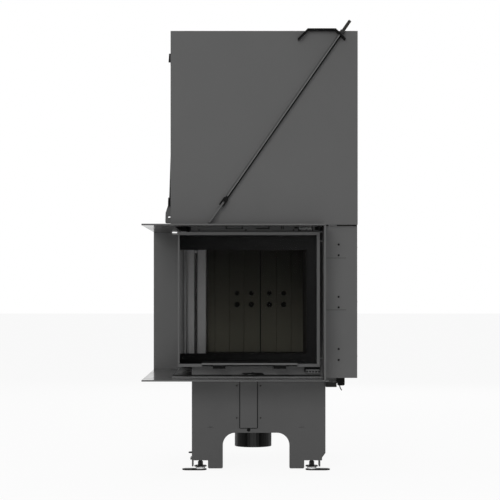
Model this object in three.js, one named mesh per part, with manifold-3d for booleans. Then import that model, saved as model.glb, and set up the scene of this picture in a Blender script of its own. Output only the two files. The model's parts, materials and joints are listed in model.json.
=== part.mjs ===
// A corner fireplace insert with a lift-up glazed door, in millimetres, +Z up.
// The steel firebox stands on a legged base. A tall casing above it takes the door when it is
// lifted, two hidden counterweights balance the door, and a deep flat collar frames the opening.
// x runs to the right from the casing's left face, y runs back from the casing's front face and
// z runs up from the floor. At the end the model is moved so that its footprint is centred.

import * as THREE from 'three';
import { mergeVertices } from 'three/addons/utils/BufferGeometryUtils.js';
import { ConvexGeometry } from 'three/addons/geometries/ConvexGeometry.js';
import Module from 'manifold-3d';

const wasm = await Module();
wasm.setup();

// ---------------------------------------------------------------------------------------------
// Driving dimensions
// ---------------------------------------------------------------------------------------------

const seat = 0.3; // gap between two pieces that rest against each other
const weld = 1; // how far a welded bit runs into its neighbour, or a cutter past the face it cuts

// Casing above the opening
const casingHeight = 617;
const casingSheet = 2;
const casingFold = 16;

// Collar plates round the opening
const collarPlate = 5;
const collarReach = 87;
const collarUnderside = 296;
const collarOverlap = 12;
const collarTail = 10;
const rearUprightGap = 2.7;
const rearNotchWidth = 22;
const rearNotchHeight = 7;
const openingHeight = 484.5;
const openingWidth = 485.5;
const openingLength = 555;

// Columns beside the opening, right and rear left
const columnWidth = 105.5;
const rearColumnLength = 117;
const columnSetback = 21.6;
const columnTopGap = 3;
const columnSheet = 2;
const columnReturn = 64;

// Lift-up door
const doorInset = 22.7;
const doorGap = 8.7;
const doorDepth = 34;
const doorRaise = 35.4;
const doorTopGap = 17.1;
const stripWidth = 10;
const glassLip = 10;
const lipPlate = 3;
const glassThickness = 4;
const glassSetback = 1.5;
const beadLeg = 4.5;
const beadSheet = 1.2;

// Handle below the front pane
const handleInset = 76.3;
const handleLength = 305;
const handleHeight = 6.6;
const handleDepth = 11;
const handleStandoff = 20;
const handleRise = 7.6;
const clipWidth = 40;
const clipPlate = 4;
const clipReach = 38;
const clipInset = 36;

// Door running gear, the same beside the front pane and behind the side pane.
// Here a runs from the door's edge and d from its outer face.
const gearDepth = 20;
const pinDiameter = 6;
const rollerDiameter = 17.4;
const rollerLength = 16;
const rollerInset = 28;
const rollerEndGap = 1.5;
const rollerClearance = 0.3;
const railStart = 28;
const railWidth = 26.5;
const railSheet = 2.5;
const railSlot = 8;
const railDrop = 45;
const cableDiameter = 4;
const cableStart = 14;
const pulleyRadius = 33.5;
const pulleyRim = 4;
const pulleyThickness = 12;
const pulleyLip = 1.5;
const pulleyDrop = 72.8;
const pulleySpokes = 5;
const pulleyHoleDiameter = 12;
const axleDiameter = 8;
const axleCapDiameter = 16;
const axleCapThickness = 2;
const headWidth = 46;
const headRise = 26;
const headRadius = 12;
const weightWidth = 46;
const weightDepth = 34;
const weightLength = 480;
const weightDrop = 95;
const weightChamfer = 4;

// Base with its legs
const baseInset = 42.7;
const baseRightInset = 5.5;
const baseRearInset = 28.9;
const baseSheet = 3;
const baseWing = 16.5;
const wingChamfer = 15;
const wingEnd = 57;
const toeBottom = 7;
const toeWidth = 48;
const toeRadius = 5;
const notchWidth = 52;
const notchHeight = 26;
const archTop = 122;
const archRadius = 40;
const rearPanelBottom = 150;
const tongueDrop = 20;
const tongueWidth = 8;

// Adjustable feet
const footInset = 27;
const footPlateThickness = 3.6;
const footPlateWidth = 40;
const footPlateReach = 39;
const puckDiameter = 27;
const puckHeight = 7;
const footDiscDiameter = 41;
const footDiscThickness = 4;
const footDiscChamfer = 1;
const footHexAcross = 14.6;
const footHexHeight = 13;
const footScrewDiameter = 12;
const footScrewLength = 44;
const footScrewChamfer = 2;
const footBracketThickness = 6;
const footBracketSize = 50;
const footBracketOverhang = 5;
const footBracketRise = 2;

// Air supply
const spigotDiameter = 125;
const spigotSheet = 2;
const spigotBottom = 52;
const spigotOffset = -9.1;
const airBoxWidth = 190;
const airBoxDepth = 230;
const airBoxHeight = 140;
const airInletDiameter = 100;
const coverWidth = 59.4;
const coverOffset = -24.2;
const coverBottom = 136;
const coverGap = 4;
const slotWidth = 16;
const slotHeight = 3;
const slotSpan = 293;
const slotRise = 139;
const leverOffset = -11.7;
const leverWidth = 80;
const leverDepth = 26;
const leverThickness = 4;
const leverRise = 10;
const leverStem = 14;
const leverTravel = 25;
const leverNose = 12;
const leverTipDrop = 8;
const leverTipWidth = 14;
const leverTipRadius = 2;
const leverHeelRadius = 3;

// Firebox
const fireboxPlate = 5;
const fireboxDrop = 1.4;
const fireboxSideInset = 6;
const fireboxRearInset = 14;
const fireboxWall = 4;
const liningThickness = 28;
const liningDrop = 45.5;
const hearthThickness = 30;
const hearthInset = 6;
const grooveSpacing = 55;
const grooveWidth = 3;
const grooveDepth = 1.6;
const seamInset = 151.7;
const ventSpacing = 51;
const ventSeamGap = 32;
const upperVentDiameter = 15;
const upperVentRise = 229;
const lowerVentDiameter = 18;
const lowerVentRise = 190;
const pilasterWidth = 33;
const pilasterDepth = 66.7;
const pilasterSheet = 3;
const pilasterSlotInset = 14.5;
const pilasterSlotWidth = 10.5;
const pilasterSlotMargin = 14;
const baffleThickness = 25;
const baffleGap = 164.6;
const hoodDrop = 207.8;
const skirtHeight = 40;
const hoodSheet = 3;
const flueDiameter = 180;
const flueHeight = 90;
const flueFlange = 10;
const flueSheet = 3;
const flueSides = 48;

// Sill plate, lintel channel, door stop and bracket under the right column
const sillPlate = 5;
const sillFront = 5;
const sillTail = 120;
const lintelDepth = 6.5;
const lintelHeight = 18;
const lintelSheet = 2.5;
const lintelDrop = 15;
const stopInset = 7.9;
const stopWidth = 48;
const stopReach = 34;
const stopHeight = 14;
const stopPlate = 3;
const hangerInset = 6.5;
const hangerArm = 34;
const hangerArmHeight = 17.5;
const hangerArmStep = 12;
const hangerBlock = 26;
const hangerBlockHeight = 25;
const hangerSlit = 5;
const hangerSlitHeight = 17;
const hangerDrop = 30;
const hangerFront = 40;
const hangerDepth = 60;
const hangerRadius = 5;

// Tie rods that brace the casing, one on the front and one on the left side
const rodDiameter = 10;
const rodTip = 52;
const rodStandoff = 15.5;
const rodBracketBar = 89;
const rodBracketLeg = 31.8;
const rodBracketWidth = 31;
const rodBracketPlate = 5;
const rodBracketRise = 3.5;
const nutAcross = 16;
const nutHeight = 8;
const forkWidth = 16;
const forkLength = 34;
const forkSlot = 7;
const tabThickness = 5;
const tabReach = 32;
const tabLength = 86;
const tabHoleDiameter = 9;
const tabHoleInset = 24;
const tabHoleDepth = 19.2;
const tabRise = 47;
const tabRadius = 6;
const forkOverlap = 22;
const forkRoot = 4;
const rodSideGap = 1;
const frontBracketInset = 115.5;
const frontForkInset = 171;
const frontForkRise = 73.2;
const sideBracketInset = 112;
const sideForkInset = 311;
const sideForkRise = 89.2;

// ---------------------------------------------------------------------------------------------
// Places worked out from the dimensions
// ---------------------------------------------------------------------------------------------

const uprightRight = openingWidth + collarPlate;
const uprightRear = openingLength + collarPlate;
const casingWidth = uprightRight + columnWidth;
const casingDepth = uprightRear + rearColumnLength;
const collarFloor = collarUnderside + collarPlate;
const collarRoof = collarFloor + openingHeight;
const casingBottom = collarRoof + collarPlate + seat;
const casingTop = casingBottom + casingHeight;
const doorBottom = collarFloor + doorRaise;
const doorTop = collarRoof - doorTopGap;
const doorRight = openingWidth - doorGap;
const doorRear = openingLength - doorGap;
const doorBack = doorInset + doorDepth;
const baseFace = doorInset + baseInset;
const baseRight = openingWidth - baseRightInset;
const baseRear = casingDepth - baseRearInset;
const baseMiddle = (baseFace + baseRight) / 2;
const floorPlateBottom = doorBottom - fireboxDrop;
const floorPlateTop = floorPlateBottom + fireboxPlate;
const fireboxRight = baseRight - fireboxSideInset;
const fireboxRear = baseRear - fireboxRearInset;
const wallTop = collarRoof - lintelDrop - seat;
const hoodBottom = wallTop + seat;
const liningRight = fireboxRight - fireboxWall - seat - liningThickness;
const liningRear = fireboxRear - fireboxWall - seat - liningThickness;
const pilasterFront = fireboxRear - fireboxWall - seat - pilasterDepth;
const pilasterRight = baseFace + pilasterWidth;
const columnTop = collarRoof + collarPlate - columnTopGap;
const liningTop = collarRoof - liningDrop;
const seamPosition = liningRight - seamInset;
const pulleyHeight = casingTop - pulleyDrop;
const railTop = pulleyHeight - railDrop;
const hoodTop = casingTop - hoodDrop;
const spigotAcross = baseMiddle + spigotOffset;
const spigotBack = (baseFace + baseRear) / 2;
const flueAcross = (baseFace + fireboxRight) / 2;
const flueBack = (baseFace + fireboxRear) / 2;
const leverCentre = baseMiddle + leverOffset;

// ---------------------------------------------------------------------------------------------
// Shapes and solids
// ---------------------------------------------------------------------------------------------

function outline(points) {
  const shape = new THREE.Shape();
  points.forEach(([across, up, radius = 0], index) => {
    const here = new THREE.Vector2(across, up);
    const before = new THREE.Vector2(...points.at(index - 1).slice(0, 2)).sub(here).normalize();
    const after = new THREE.Vector2(...points[(index + 1) % points.length].slice(0, 2));
    after.sub(here).normalize();
    const half = before.angleTo(after) / 2;
    const reach = radius / Math.tan(half);
    const start = here.clone().addScaledVector(before, reach);
    if (radius === 0 && index > 0) shape.lineTo(start.x, start.y);
    if (radius === 0 && index === 0) shape.moveTo(start.x, start.y);
    if (radius > 0) {
      const inward = before.clone().add(after).normalize();
      const centre = here.clone().addScaledVector(inward, radius / Math.sin(half));
      const end = here.clone().addScaledVector(after, reach);
      const from = Math.atan2(start.y - centre.y, start.x - centre.x);
      const to = Math.atan2(end.y - centre.y, end.x - centre.x);
      shape.absarc(centre.x, centre.y, radius, from, to, before.cross(after) > 0);
    }
  });
  shape.closePath();
  return shape;
}

function rectangle(across0, up0, across1, up1) {
  return outline([[across0, up0], [across1, up0], [across1, up1], [across0, up1]]);
}

function circle(across, up, radius) {
  const shape = new THREE.Shape();
  shape.absarc(across, up, radius, 0, 2 * Math.PI, false);
  return shape;
}

// A sheet bent along a line of points, with its thickness on the right of the line.
function foldedSheet(points, thickness) {
  const line = points.map(([across, up]) => new THREE.Vector2(across, up));
  const sides = line.slice(1).map((point, index) => {
    const along = point.clone().sub(line[index]).normalize();
    return new THREE.Vector2(along.y, -along.x);
  });
  const offset = line.map((point, index) => {
    const before = sides[Math.max(index - 1, 0)];
    const after = sides[Math.min(index, sides.length - 1)];
    const mitre = before.clone().add(after);
    return point.clone().addScaledVector(mitre, thickness * 2 / mitre.lengthSq());
  });
  return outline([...line, ...offset.reverse()].map((point) => [point.x, point.y]));
}

function extrude(shape, length, segments = 6) {
  return new THREE.ExtrudeGeometry(shape, {
    depth: length,
    bevelEnabled: false,
    curveSegments: segments,
  });
}

// The shape is drawn in (y, z) and runs from x to x + length.
function alongX(shape, x, length, segments) {
  const turn = new THREE.Matrix4().makeBasis(
    new THREE.Vector3(0, 1, 0),
    new THREE.Vector3(0, 0, 1),
    new THREE.Vector3(1, 0, 0),
  );
  return extrude(shape, length, segments).applyMatrix4(turn).translate(x, 0, 0);
}

// The shape is drawn in (x, z) and runs from y to y + length.
function alongY(shape, y, length, segments) {
  return extrude(shape, length, segments).rotateX(Math.PI / 2).translate(0, y + length, 0);
}

// The shape is drawn in (x, y) and runs from z to z + length.
function alongZ(shape, z, length, segments) {
  return extrude(shape, length, segments).translate(0, 0, z);
}

function block(x0, x1, y0, y1, z0, z1) {
  return new THREE.BoxGeometry(x1 - x0, y1 - y0, z1 - z0)
    .translate((x0 + x1) / 2, (y0 + y1) / 2, (z0 + z1) / 2);
}

// A body of revolution about the upright line at (x, y). The profile is in (radius, z).
function turned(profile, x, y, segments = 24) {
  const points = [...profile, profile[0]].map(([radius, height]) => new THREE.Vector2(radius, height));
  return new THREE.LatheGeometry(points, segments).rotateX(Math.PI / 2).translate(x, y, 0);
}

// A round bar between two points.
function bar(from, to, diameter, segments = 16) {
  const along = to.clone().sub(from);
  const upright = new THREE.Vector3(0, 1, 0);
  const turn = new THREE.Quaternion().setFromUnitVectors(upright, along.clone().normalize());
  return new THREE.CylinderGeometry(diameter / 2, diameter / 2, along.length(), segments)
    .applyQuaternion(turn)
    .translate(...from.clone().add(to).multiplyScalar(0.5));
}

function solid(geometry) {
  const bare = geometry.clone();
  bare.deleteAttribute('normal');
  bare.deleteAttribute('uv');
  const merged = mergeVertices(bare, 1e-4);
  return new wasm.Manifold(new wasm.Mesh({
    numProp: 3,
    vertProperties: Float32Array.from(merged.attributes.position.array),
    triVerts: Uint32Array.from(merged.index.array),
  }));
}

function surface(body) {
  const mesh = body.getMesh();
  const geometry = new THREE.BufferGeometry();
  geometry.setAttribute('position', new THREE.BufferAttribute(Float32Array.from(mesh.vertProperties), 3));
  geometry.setIndex(new THREE.BufferAttribute(Uint32Array.from(mesh.triVerts), 1));
  geometry.computeVertexNormals();
  return geometry;
}

function joined(first, ...others) {
  return surface(others.reduce((body, other) => body.add(solid(other)), solid(first)));
}

function cut(first, ...tools) {
  return surface(tools.reduce((body, tool) => body.subtract(solid(tool)), solid(first)));
}

// A mirror image, with its faces turned so that they still point outwards.
function reflected(geometry, mirror) {
  const bare = geometry.clone();
  bare.deleteAttribute('normal');
  bare.deleteAttribute('uv');
  const image = mergeVertices(bare, 1e-4).applyMatrix4(mirror);
  const corners = image.index.array;
  for (let corner = 0; corner < corners.length; corner += 3) {
    [corners[corner], corners[corner + 1]] = [corners[corner + 1], corners[corner]];
  }
  image.computeVertexNormals();
  return image;
}

// What stands at the front, as it stands on the left side: x and y change places.
function swapped(geometry) {
  return reflected(geometry, new THREE.Matrix4().set(0, 1, 0, 0, 1, 0, 0, 0, 0, 0, 1, 0, 0, 0, 0, 1));
}

// The right-hand version of a left-hand piece, mirrored about x = 0.
function rightHanded(geometry) {
  return reflected(geometry, new THREE.Matrix4().makeScale(-1, 1, 1));
}

// ---------------------------------------------------------------------------------------------
// Finishes
// ---------------------------------------------------------------------------------------------

function finish(color, roughness, metalness) {
  return new THREE.MeshStandardMaterial({ color, roughness, metalness });
}

const paint = finish(0x5a5a5a, 0.55, 0.1);
const basePaint = finish(0x4b4b4b, 0.6, 0.1);
const blackSteel = finish(0x161616, 0.45, 0.4);
const bareSteel = finish(0x8a8c8e, 0.35, 0.9);
const ceramic = finish(0x2a2824, 0.9, 0);
const castIron = finish(0x242424, 0.7, 0.5);
const baffleBoard = finish(0xb3a284, 0.95, 0);
const glass = new THREE.MeshStandardMaterial({
  color: 0x1c1d1d, roughness: 0.08, metalness: 0, transparent: true, opacity: 0.35,
});

const insert = new THREE.Group();

function piece(name, geometry, material) {
  const mesh = new THREE.Mesh(geometry, material);
  mesh.name = name;
  insert.add(mesh);
}

// ---------------------------------------------------------------------------------------------
// Collar
// ---------------------------------------------------------------------------------------------

function collarOutline(tail) {
  return outline([
    [-collarReach, -collarReach],
    [uprightRight + tail, -collarReach],
    [uprightRight + tail, collarOverlap],
    [collarOverlap, collarOverlap],
    [collarOverlap, uprightRear],
    [-collarReach, uprightRear],
  ]);
}

function collarUpright() {
  const z = collarFloor + seat;
  const height = openingHeight - 2 * seat;
  const plan = rectangle(openingWidth, -collarReach, uprightRight, columnSetback - seat);
  return alongZ(plan, z, height);
}

// The rear upright has a small notch at its top, where it meets the rear column.
function rearUpright() {
  const right = doorInset - rearUprightGap;
  const bottom = collarFloor + seat;
  const top = collarRoof - seat;
  return alongY(outline([
    [-collarReach, bottom],
    [right, bottom],
    [right, top],
    [0, top],
    [0, top - rearNotchHeight],
    [-rearNotchWidth, top - rearNotchHeight],
    [-rearNotchWidth, top],
    [-collarReach, top],
  ]), openingLength, collarPlate);
}

piece('collar_top_plate', alongZ(collarOutline(0), collarRoof, collarPlate), paint);
piece('collar_bottom_plate', alongZ(collarOutline(collarTail), collarUnderside, collarPlate), paint);
piece('collar_right_upright', collarUpright(), paint);
piece('collar_rear_upright', rearUpright(), paint);

// ---------------------------------------------------------------------------------------------
// Tie rods
// ---------------------------------------------------------------------------------------------

// Everything here is drawn as it stands on the front face, where the face is at y = 0.
function tieRod(place) {
  const barTop = casingTop + rodBracketRise;
  const slope = rodBracketLeg;
  const half = rodBracketBar / 2;
  const bend = [
    [place.bracket - half - slope, barTop - slope],
    [place.bracket - half, barTop],
    [place.bracket + half, barTop],
    [place.bracket + half + slope, barTop - slope],
  ];
  const eye = new THREE.Vector3(place.fork, -rodStandoff, place.forkHeight);
  const leg = new THREE.Vector3(place.bracket + half + slope / 2, -rodStandoff, barTop - slope / 2);
  const along = leg.clone().sub(eye).normalize();
  const tip = leg.clone().addScaledVector(along, rodTip);
  const hole = bar(
    leg.clone().addScaledVector(along, -rodTip),
    tip,
    rodDiameter + 2 * rodSideGap,
  );
  const bracket = cut(
    alongY(foldedSheet(bend, rodBracketPlate), -rodBracketWidth - seat, rodBracketWidth),
    hole,
  );
  const nutStart = leg.clone().addScaledVector(along, rodBracketPlate);
  const nut = bar(nutStart, nutStart.clone().addScaledVector(along, nutHeight), nutAcross, 6);
  const forkTop = eye.clone().addScaledVector(along, forkLength - forkOverlap - forkRoot);
  const forkEnd = eye.clone().addScaledVector(along, -forkOverlap);
  const tilt = Math.atan2(along.x, along.z);
  const fork = cut(
    block(-forkWidth / 2, forkWidth / 2, -forkWidth / 2, forkWidth / 2, 0, forkLength),
    block(-forkSlot / 2, forkSlot / 2, -forkWidth, forkWidth, -weld, forkOverlap + weld),
  ).rotateY(tilt).translate(...forkEnd);
  const rod = joined(bar(forkTop, tip, rodDiameter), nut, fork);
  const tabShape = outline([
    [0, 0],
    [-tabLength, 0],
    [-tabLength, -tabReach, tabRadius],
    [-tabRise, -tabReach, tabRadius],
    [0, -rodStandoff - forkWidth / 3, tabRadius],
  ]);
  const tab = alongZ(tabShape, -tabThickness / 2, tabThickness);
  const tabHole = bar(
    new THREE.Vector3(tabHoleInset - tabLength, -tabHoleDepth, -tabThickness),
    new THREE.Vector3(tabHoleInset - tabLength, -tabHoleDepth, tabThickness),
    tabHoleDiameter,
  );
  const turn = new THREE.Matrix4().makeBasis(
    along,
    new THREE.Vector3(0, 1, 0),
    new THREE.Vector3().crossVectors(along, new THREE.Vector3(0, 1, 0)),
  );
  const anchor = cut(tab, tabHole).applyMatrix4(turn).translate(eye.x, casingSheet / 2, eye.z);
  return { bracket, rod, anchor };
}

const frontTie = tieRod({
  bracket: casingWidth - frontBracketInset,
  fork: frontForkInset,
  forkHeight: casingBottom + frontForkRise,
});
const sideTie = tieRod({
  bracket: casingDepth - sideBracketInset,
  fork: sideForkInset,
  forkHeight: casingBottom + sideForkRise,
});

piece('front_rod_bracket', frontTie.bracket, blackSteel);
piece('front_tie_rod', frontTie.rod, blackSteel);
piece('side_rod_bracket', swapped(sideTie.bracket), blackSteel);
piece('side_tie_rod', swapped(sideTie.rod), blackSteel);

// ---------------------------------------------------------------------------------------------
// Casing
// ---------------------------------------------------------------------------------------------

// A front or rear sheet: the full width, with folds at its top and bottom between the sides.
function casingFace() {
  const web = block(0, casingWidth, 0, casingSheet, casingBottom, casingTop);
  const folds = foldedSheet([
    [casingFold, casingBottom],
    [0, casingBottom],
    [0, casingTop],
    [casingFold, casingTop],
  ], casingSheet);
  const inset = casingSheet + seat;
  return joined(web, alongX(folds, inset, casingWidth - 2 * inset));
}

function casingSide() {
  const inset = casingSheet + seat;
  return block(0, casingSheet, inset, casingDepth - inset, casingBottom, casingTop);
}

const rearFace = casingFace().rotateZ(Math.PI).translate(casingWidth, casingDepth, 0);
piece('casing_front_panel', joined(casingFace(), frontTie.anchor), paint);
piece('casing_left_panel', joined(casingSide(), swapped(sideTie.anchor)), paint);
piece('casing_right_panel', casingSide().translate(casingWidth - casingSheet, 0, 0), paint);
piece('casing_rear_panel', rearFace, paint);

// ---------------------------------------------------------------------------------------------
// Columns
// ---------------------------------------------------------------------------------------------

const columnBottom = collarFloor + seat;
const columnHeight = columnTop - columnBottom;
const sideTop = casingBottom - seat;
const coverPlan = rectangle(
  uprightRight + seat,
  columnSetback,
  casingWidth,
  columnSetback + columnSheet,
);
const sidePlan = foldedSheet([
  [uprightRight, casingDepth],
  [casingWidth, casingDepth],
  [casingWidth, columnSetback + columnSheet + seat],
], columnSheet);
const rearColumnPlan = foldedSheet([
  [0, uprightRear + seat],
  [0, casingDepth],
  [columnReturn, casingDepth],
], columnSheet);

piece('column_front_cover', alongZ(coverPlan, columnBottom, columnHeight), paint);
piece('column_side_panel', alongZ(sidePlan, columnBottom, sideTop - columnBottom), paint);
piece('rear_column_cover', alongZ(rearColumnPlan, columnBottom, columnHeight), paint);

// ---------------------------------------------------------------------------------------------
// Sill plate and lintel channel
// ---------------------------------------------------------------------------------------------

const sillInner = baseFace - seat;
const sillStep = columnSetback + columnSheet + seat;
const sillRight = casingWidth - columnSheet - seat;
const rearColumnStart = uprightRear + seat;
const sillOutline = outline([
  [sillFront, sillFront],
  [openingWidth - seat, sillFront],
  [openingWidth - seat, sillStep],
  [sillRight, sillStep],
  [sillRight, sillTail],
  [baseRight + baseWing + seat, sillTail],
  [baseRight + baseWing + seat, sillInner],
  [sillInner, sillInner],
  [sillInner, casingDepth - columnSheet - seat],
  [columnSheet + seat, casingDepth - columnSheet - seat],
  [columnSheet + seat, rearColumnStart],
  [doorInset, rearColumnStart],
  [doorInset, openingLength - seat],
  [sillFront, openingLength - seat],
]);
const sillZ = collarFloor + seat;
const sillTop = sillZ + sillPlate;
piece('sill_plate', alongZ(sillOutline, sillZ, sillPlate), basePaint);

const lintelSection = foldedSheet([
  [baseFace - seat - lintelDepth, hoodBottom + lintelHeight],
  [baseFace - seat, hoodBottom + lintelHeight],
  [baseFace - seat, hoodBottom],
  [baseFace - seat - lintelDepth, hoodBottom],
], lintelSheet);
const lintelEnd = baseFace - seat - lintelDepth;
const frontLintel = alongX(lintelSection, lintelEnd, fireboxRight - lintelEnd);
const sideLintel = swapped(alongX(lintelSection, lintelEnd, openingLength - lintelEnd));
piece('lintel_channel', joined(frontLintel, sideLintel), basePaint);

// ---------------------------------------------------------------------------------------------
// Door
// ---------------------------------------------------------------------------------------------

// A three-sided frame drawn in (across, z), open at the glass corner on its left.
function frameOutline(start, end, width) {
  return outline([
    [start, doorBottom],
    [end, doorBottom],
    [end, doorTop],
    [start, doorTop],
    [start, doorTop - width],
    [end - width, doorTop - width],
    [end - width, doorBottom + width],
    [start, doorBottom + width],
  ]);
}

// Roller pins in the running gear's coordinates, from the door's edge outwards.
function rollerPins() {
  return [doorBottom + rollerInset, doorTop - rollerInset].flatMap((z) => {
    const at = (a) => new THREE.Vector3(a, gearDepth, z);
    const rollerStart = railStart + railSheet + rollerEndGap;
    return [
      bar(at(-stripWidth / 2), at(rollerStart + rollerLength / 2), pinDiameter, 12),
      bar(at(rollerStart), at(rollerStart + rollerLength), rollerDiameter, 20),
    ];
  });
}

const glassFace = doorInset + glassSetback;
const glassBack = glassFace + glassThickness;
const lipStart = glassBack + seat;

function doorFrame(start, end) {
  const strips = alongY(frameOutline(start, end, stripWidth), doorInset, doorDepth);
  const lips = alongY(
    frameOutline(Math.max(start, lipStart + lipPlate), end, stripWidth + glassLip),
    lipStart,
    lipPlate,
  );
  const pins = rollerPins().map((pin) => pin.translate(end, doorInset, 0));
  return joined(strips, lips, ...pins);
}

piece('door_front_frame', doorFrame(doorInset, doorRight), paint);
piece('door_side_frame', swapped(doorFrame(doorBack + seat, doorRear)), paint);

const glassBottom = doorBottom + stripWidth + seat;
const glassTop = doorTop - stripWidth - seat;
piece('front_glass', block(
  glassFace,
  doorRight - stripWidth - seat,
  glassFace,
  glassBack,
  glassBottom,
  glassTop,
), glass);
piece('side_glass', block(
  glassFace,
  glassBack,
  glassBack + seat,
  doorRear - stripWidth - seat,
  glassBottom,
  glassTop,
), glass);

const beadPlan = foldedSheet([
  [doorInset + beadLeg, doorInset],
  [doorInset, doorInset],
  [doorInset, doorInset + beadLeg],
].reverse(), -beadSheet);
piece('corner_bead', alongZ(beadPlan, glassBottom, glassTop - glassBottom), paint);

const handleStart = doorInset + handleInset;
const handleY = doorInset - handleStandoff - handleDepth / 2;
const handleZ = doorBottom + handleRise;
const grip = block(
  handleStart,
  handleStart + handleLength,
  handleY,
  handleY + handleDepth,
  handleZ,
  handleZ + handleHeight,
);
const clipBottom = doorBottom - seat - clipPlate;
const clipSection = foldedSheet([
  [handleY + handleDepth / 2 - clipPlate / 2, handleZ + weld],
  [handleY + handleDepth / 2 - clipPlate / 2, clipBottom],
  [doorInset + clipReach - doorDepth / 2, clipBottom],
].reverse(), clipPlate);
const clips = [
  handleStart + clipInset,
  handleStart + handleLength - clipInset - clipWidth,
].map((x) => alongX(clipSection, x, clipWidth));
piece('door_handle', joined(grip, ...clips), blackSteel);

// ---------------------------------------------------------------------------------------------
// Running gear, drawn in (a, d, z): a from the door's edge outwards, d from its outer face back
// ---------------------------------------------------------------------------------------------

const railHalf = rollerDiameter / 2 + rollerClearance + railSheet;
const pulleyAcross = cableStart + pulleyRadius;

function guideRail() {
  const slotHalf = railSlot / 2;
  const section = foldedSheet([
    [railStart, gearDepth - slotHalf],
    [railStart, gearDepth - railHalf],
    [railStart + railWidth, gearDepth - railHalf],
    [railStart + railWidth, gearDepth + railHalf],
    [railStart, gearDepth + railHalf],
    [railStart, gearDepth + slotHalf],
  ].reverse(), railSheet);
  const bottom = sillTop + seat;
  const channel = alongZ(section, bottom, railTop - bottom);
  const plateShape = outline([
    [railStart, railTop - headRise],
    [railStart + railWidth, railTop - headRise],
    [pulleyAcross + headWidth / 2, railTop],
    [pulleyAcross + headWidth / 2, pulleyHeight + headRise, headRadius],
    [pulleyAcross - headWidth / 2, pulleyHeight + headRise, headRadius],
    [pulleyAcross - headWidth / 2, railTop],
  ]);
  const plateStart = gearDepth + railHalf - railSheet;
  const plate = alongY(plateShape, plateStart, railSheet);
  const at = (d) => new THREE.Vector3(pulleyAcross, d, pulleyHeight);
  const nose = gearDepth - pulleyThickness / 2 - seat - axleCapThickness;
  const axle = bar(at(nose), at(plateStart + weld), axleDiameter, 16);
  const cap = bar(at(nose), at(nose + axleCapThickness), axleCapDiameter, 16);
  return joined(channel, plate, axle, cap);
}

function pulley() {
  const half = pulleyThickness / 2;
  const bore = axleDiameter / 2 + seat;
  const rim = pulleyRadius + pulleyRim;
  const bottom = pulleyRadius - cableDiameter / 2 - seat;
  const wheel = turned([
    [bore, -half],
    [rim, -half],
    [rim, -half + pulleyLip],
    [bottom, -cableDiameter / 2],
    [bottom, cableDiameter / 2],
    [rim, half - pulleyLip],
    [rim, half],
    [bore, half],
  ], 0, 0, 32);
  const holes = Array.from({ length: pulleySpokes }, (_, index) => {
    const angle = index * 2 * Math.PI / pulleySpokes;
    const radius = (bore + bottom) / 2;
    const hole = circle(radius * Math.cos(angle), radius * Math.sin(angle), pulleyHoleDiameter / 2);
    return alongZ(hole, -half - weld, pulleyThickness + 2 * weld);
  });
  return cut(wheel, ...holes).rotateX(Math.PI / 2).translate(pulleyAcross, gearDepth, pulleyHeight);
}

function cable(a, bottom) {
  const at = (z) => new THREE.Vector3(a, gearDepth, z);
  return bar(at(bottom), at(pulleyHeight), cableDiameter, 8);
}

const weightTop = pulleyHeight - weightDrop;
const weightAcross = cableStart + 2 * pulleyRadius;

function counterweight() {
  const plan = outline([
    [weightAcross - weightWidth / 2, gearDepth - weightDepth / 2, weightChamfer],
    [weightAcross + weightWidth / 2, gearDepth - weightDepth / 2, weightChamfer],
    [weightAcross + weightWidth / 2, gearDepth + weightDepth / 2, weightChamfer],
    [weightAcross - weightWidth / 2, gearDepth + weightDepth / 2, weightChamfer],
  ]);
  return alongZ(plan, weightTop - weightLength, weightLength, 3);
}

const pinTop = doorTop - rollerInset + pinDiameter / 2;
const gear = {
  guide_rail: [guideRail, bareSteel],
  pulley: [pulley, blackSteel],
  counterweight: [counterweight, castIron],
  door_cable: [() => cable(cableStart, pinTop + seat), bareSteel],
  weight_cable: [() => cable(weightAcross, weightTop + seat), bareSteel],
};
for (const [name, [make, material]] of Object.entries(gear)) {
  piece(`right_${name}`, make().translate(doorRight, doorInset, 0), material);
  piece(`rear_${name}`, swapped(make().translate(doorRear, doorInset, 0)), material);
}

// ---------------------------------------------------------------------------------------------
// Base
// ---------------------------------------------------------------------------------------------

const notchTop = toeBottom + notchHeight;
const archLeft = baseFace + notchWidth + toeWidth;

const frontShape = outline([
  [baseFace, notchTop],
  [baseFace + notchWidth, notchTop],
  [baseFace + notchWidth, toeBottom, toeRadius],
  [archLeft, toeBottom, toeRadius],
  [archLeft, archTop, archRadius],
  [baseRight - notchWidth - toeWidth, archTop, archRadius],
  [baseRight - notchWidth - toeWidth, toeBottom, toeRadius],
  [baseRight - notchWidth, toeBottom, toeRadius],
  [baseRight - notchWidth, notchTop],
  [baseRight + baseWing / 3, notchTop],
  [baseRight + baseWing / 3, wingEnd - wingChamfer],
  [baseRight + baseWing, wingEnd],
  [baseRight + baseWing, floorPlateBottom - seat],
  [baseFace, floorPlateBottom - seat],
]);
const leverSlot = rectangle(
  leverCentre - leverStem / 2 - leverTravel - weld,
  sillTop + leverRise / 2 - seat,
  leverCentre + leverStem / 2 + leverTravel + weld,
  sillTop + leverRise / 2 + leverThickness + seat,
);
const airSlots = [-1, 1].map((side) => {
  const middle = baseMiddle + side * slotSpan / 2;
  return rectangle(middle - slotWidth / 2, slotRise, middle + slotWidth / 2, slotRise + slotHeight);
});
const slotTools = [leverSlot, ...airSlots].map((slot) => {
  return alongY(slot, baseFace - weld, baseSheet + 2 * weld);
});
piece('base_front_panel', cut(alongY(frontShape, baseFace, baseSheet), ...slotTools), basePaint);

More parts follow.
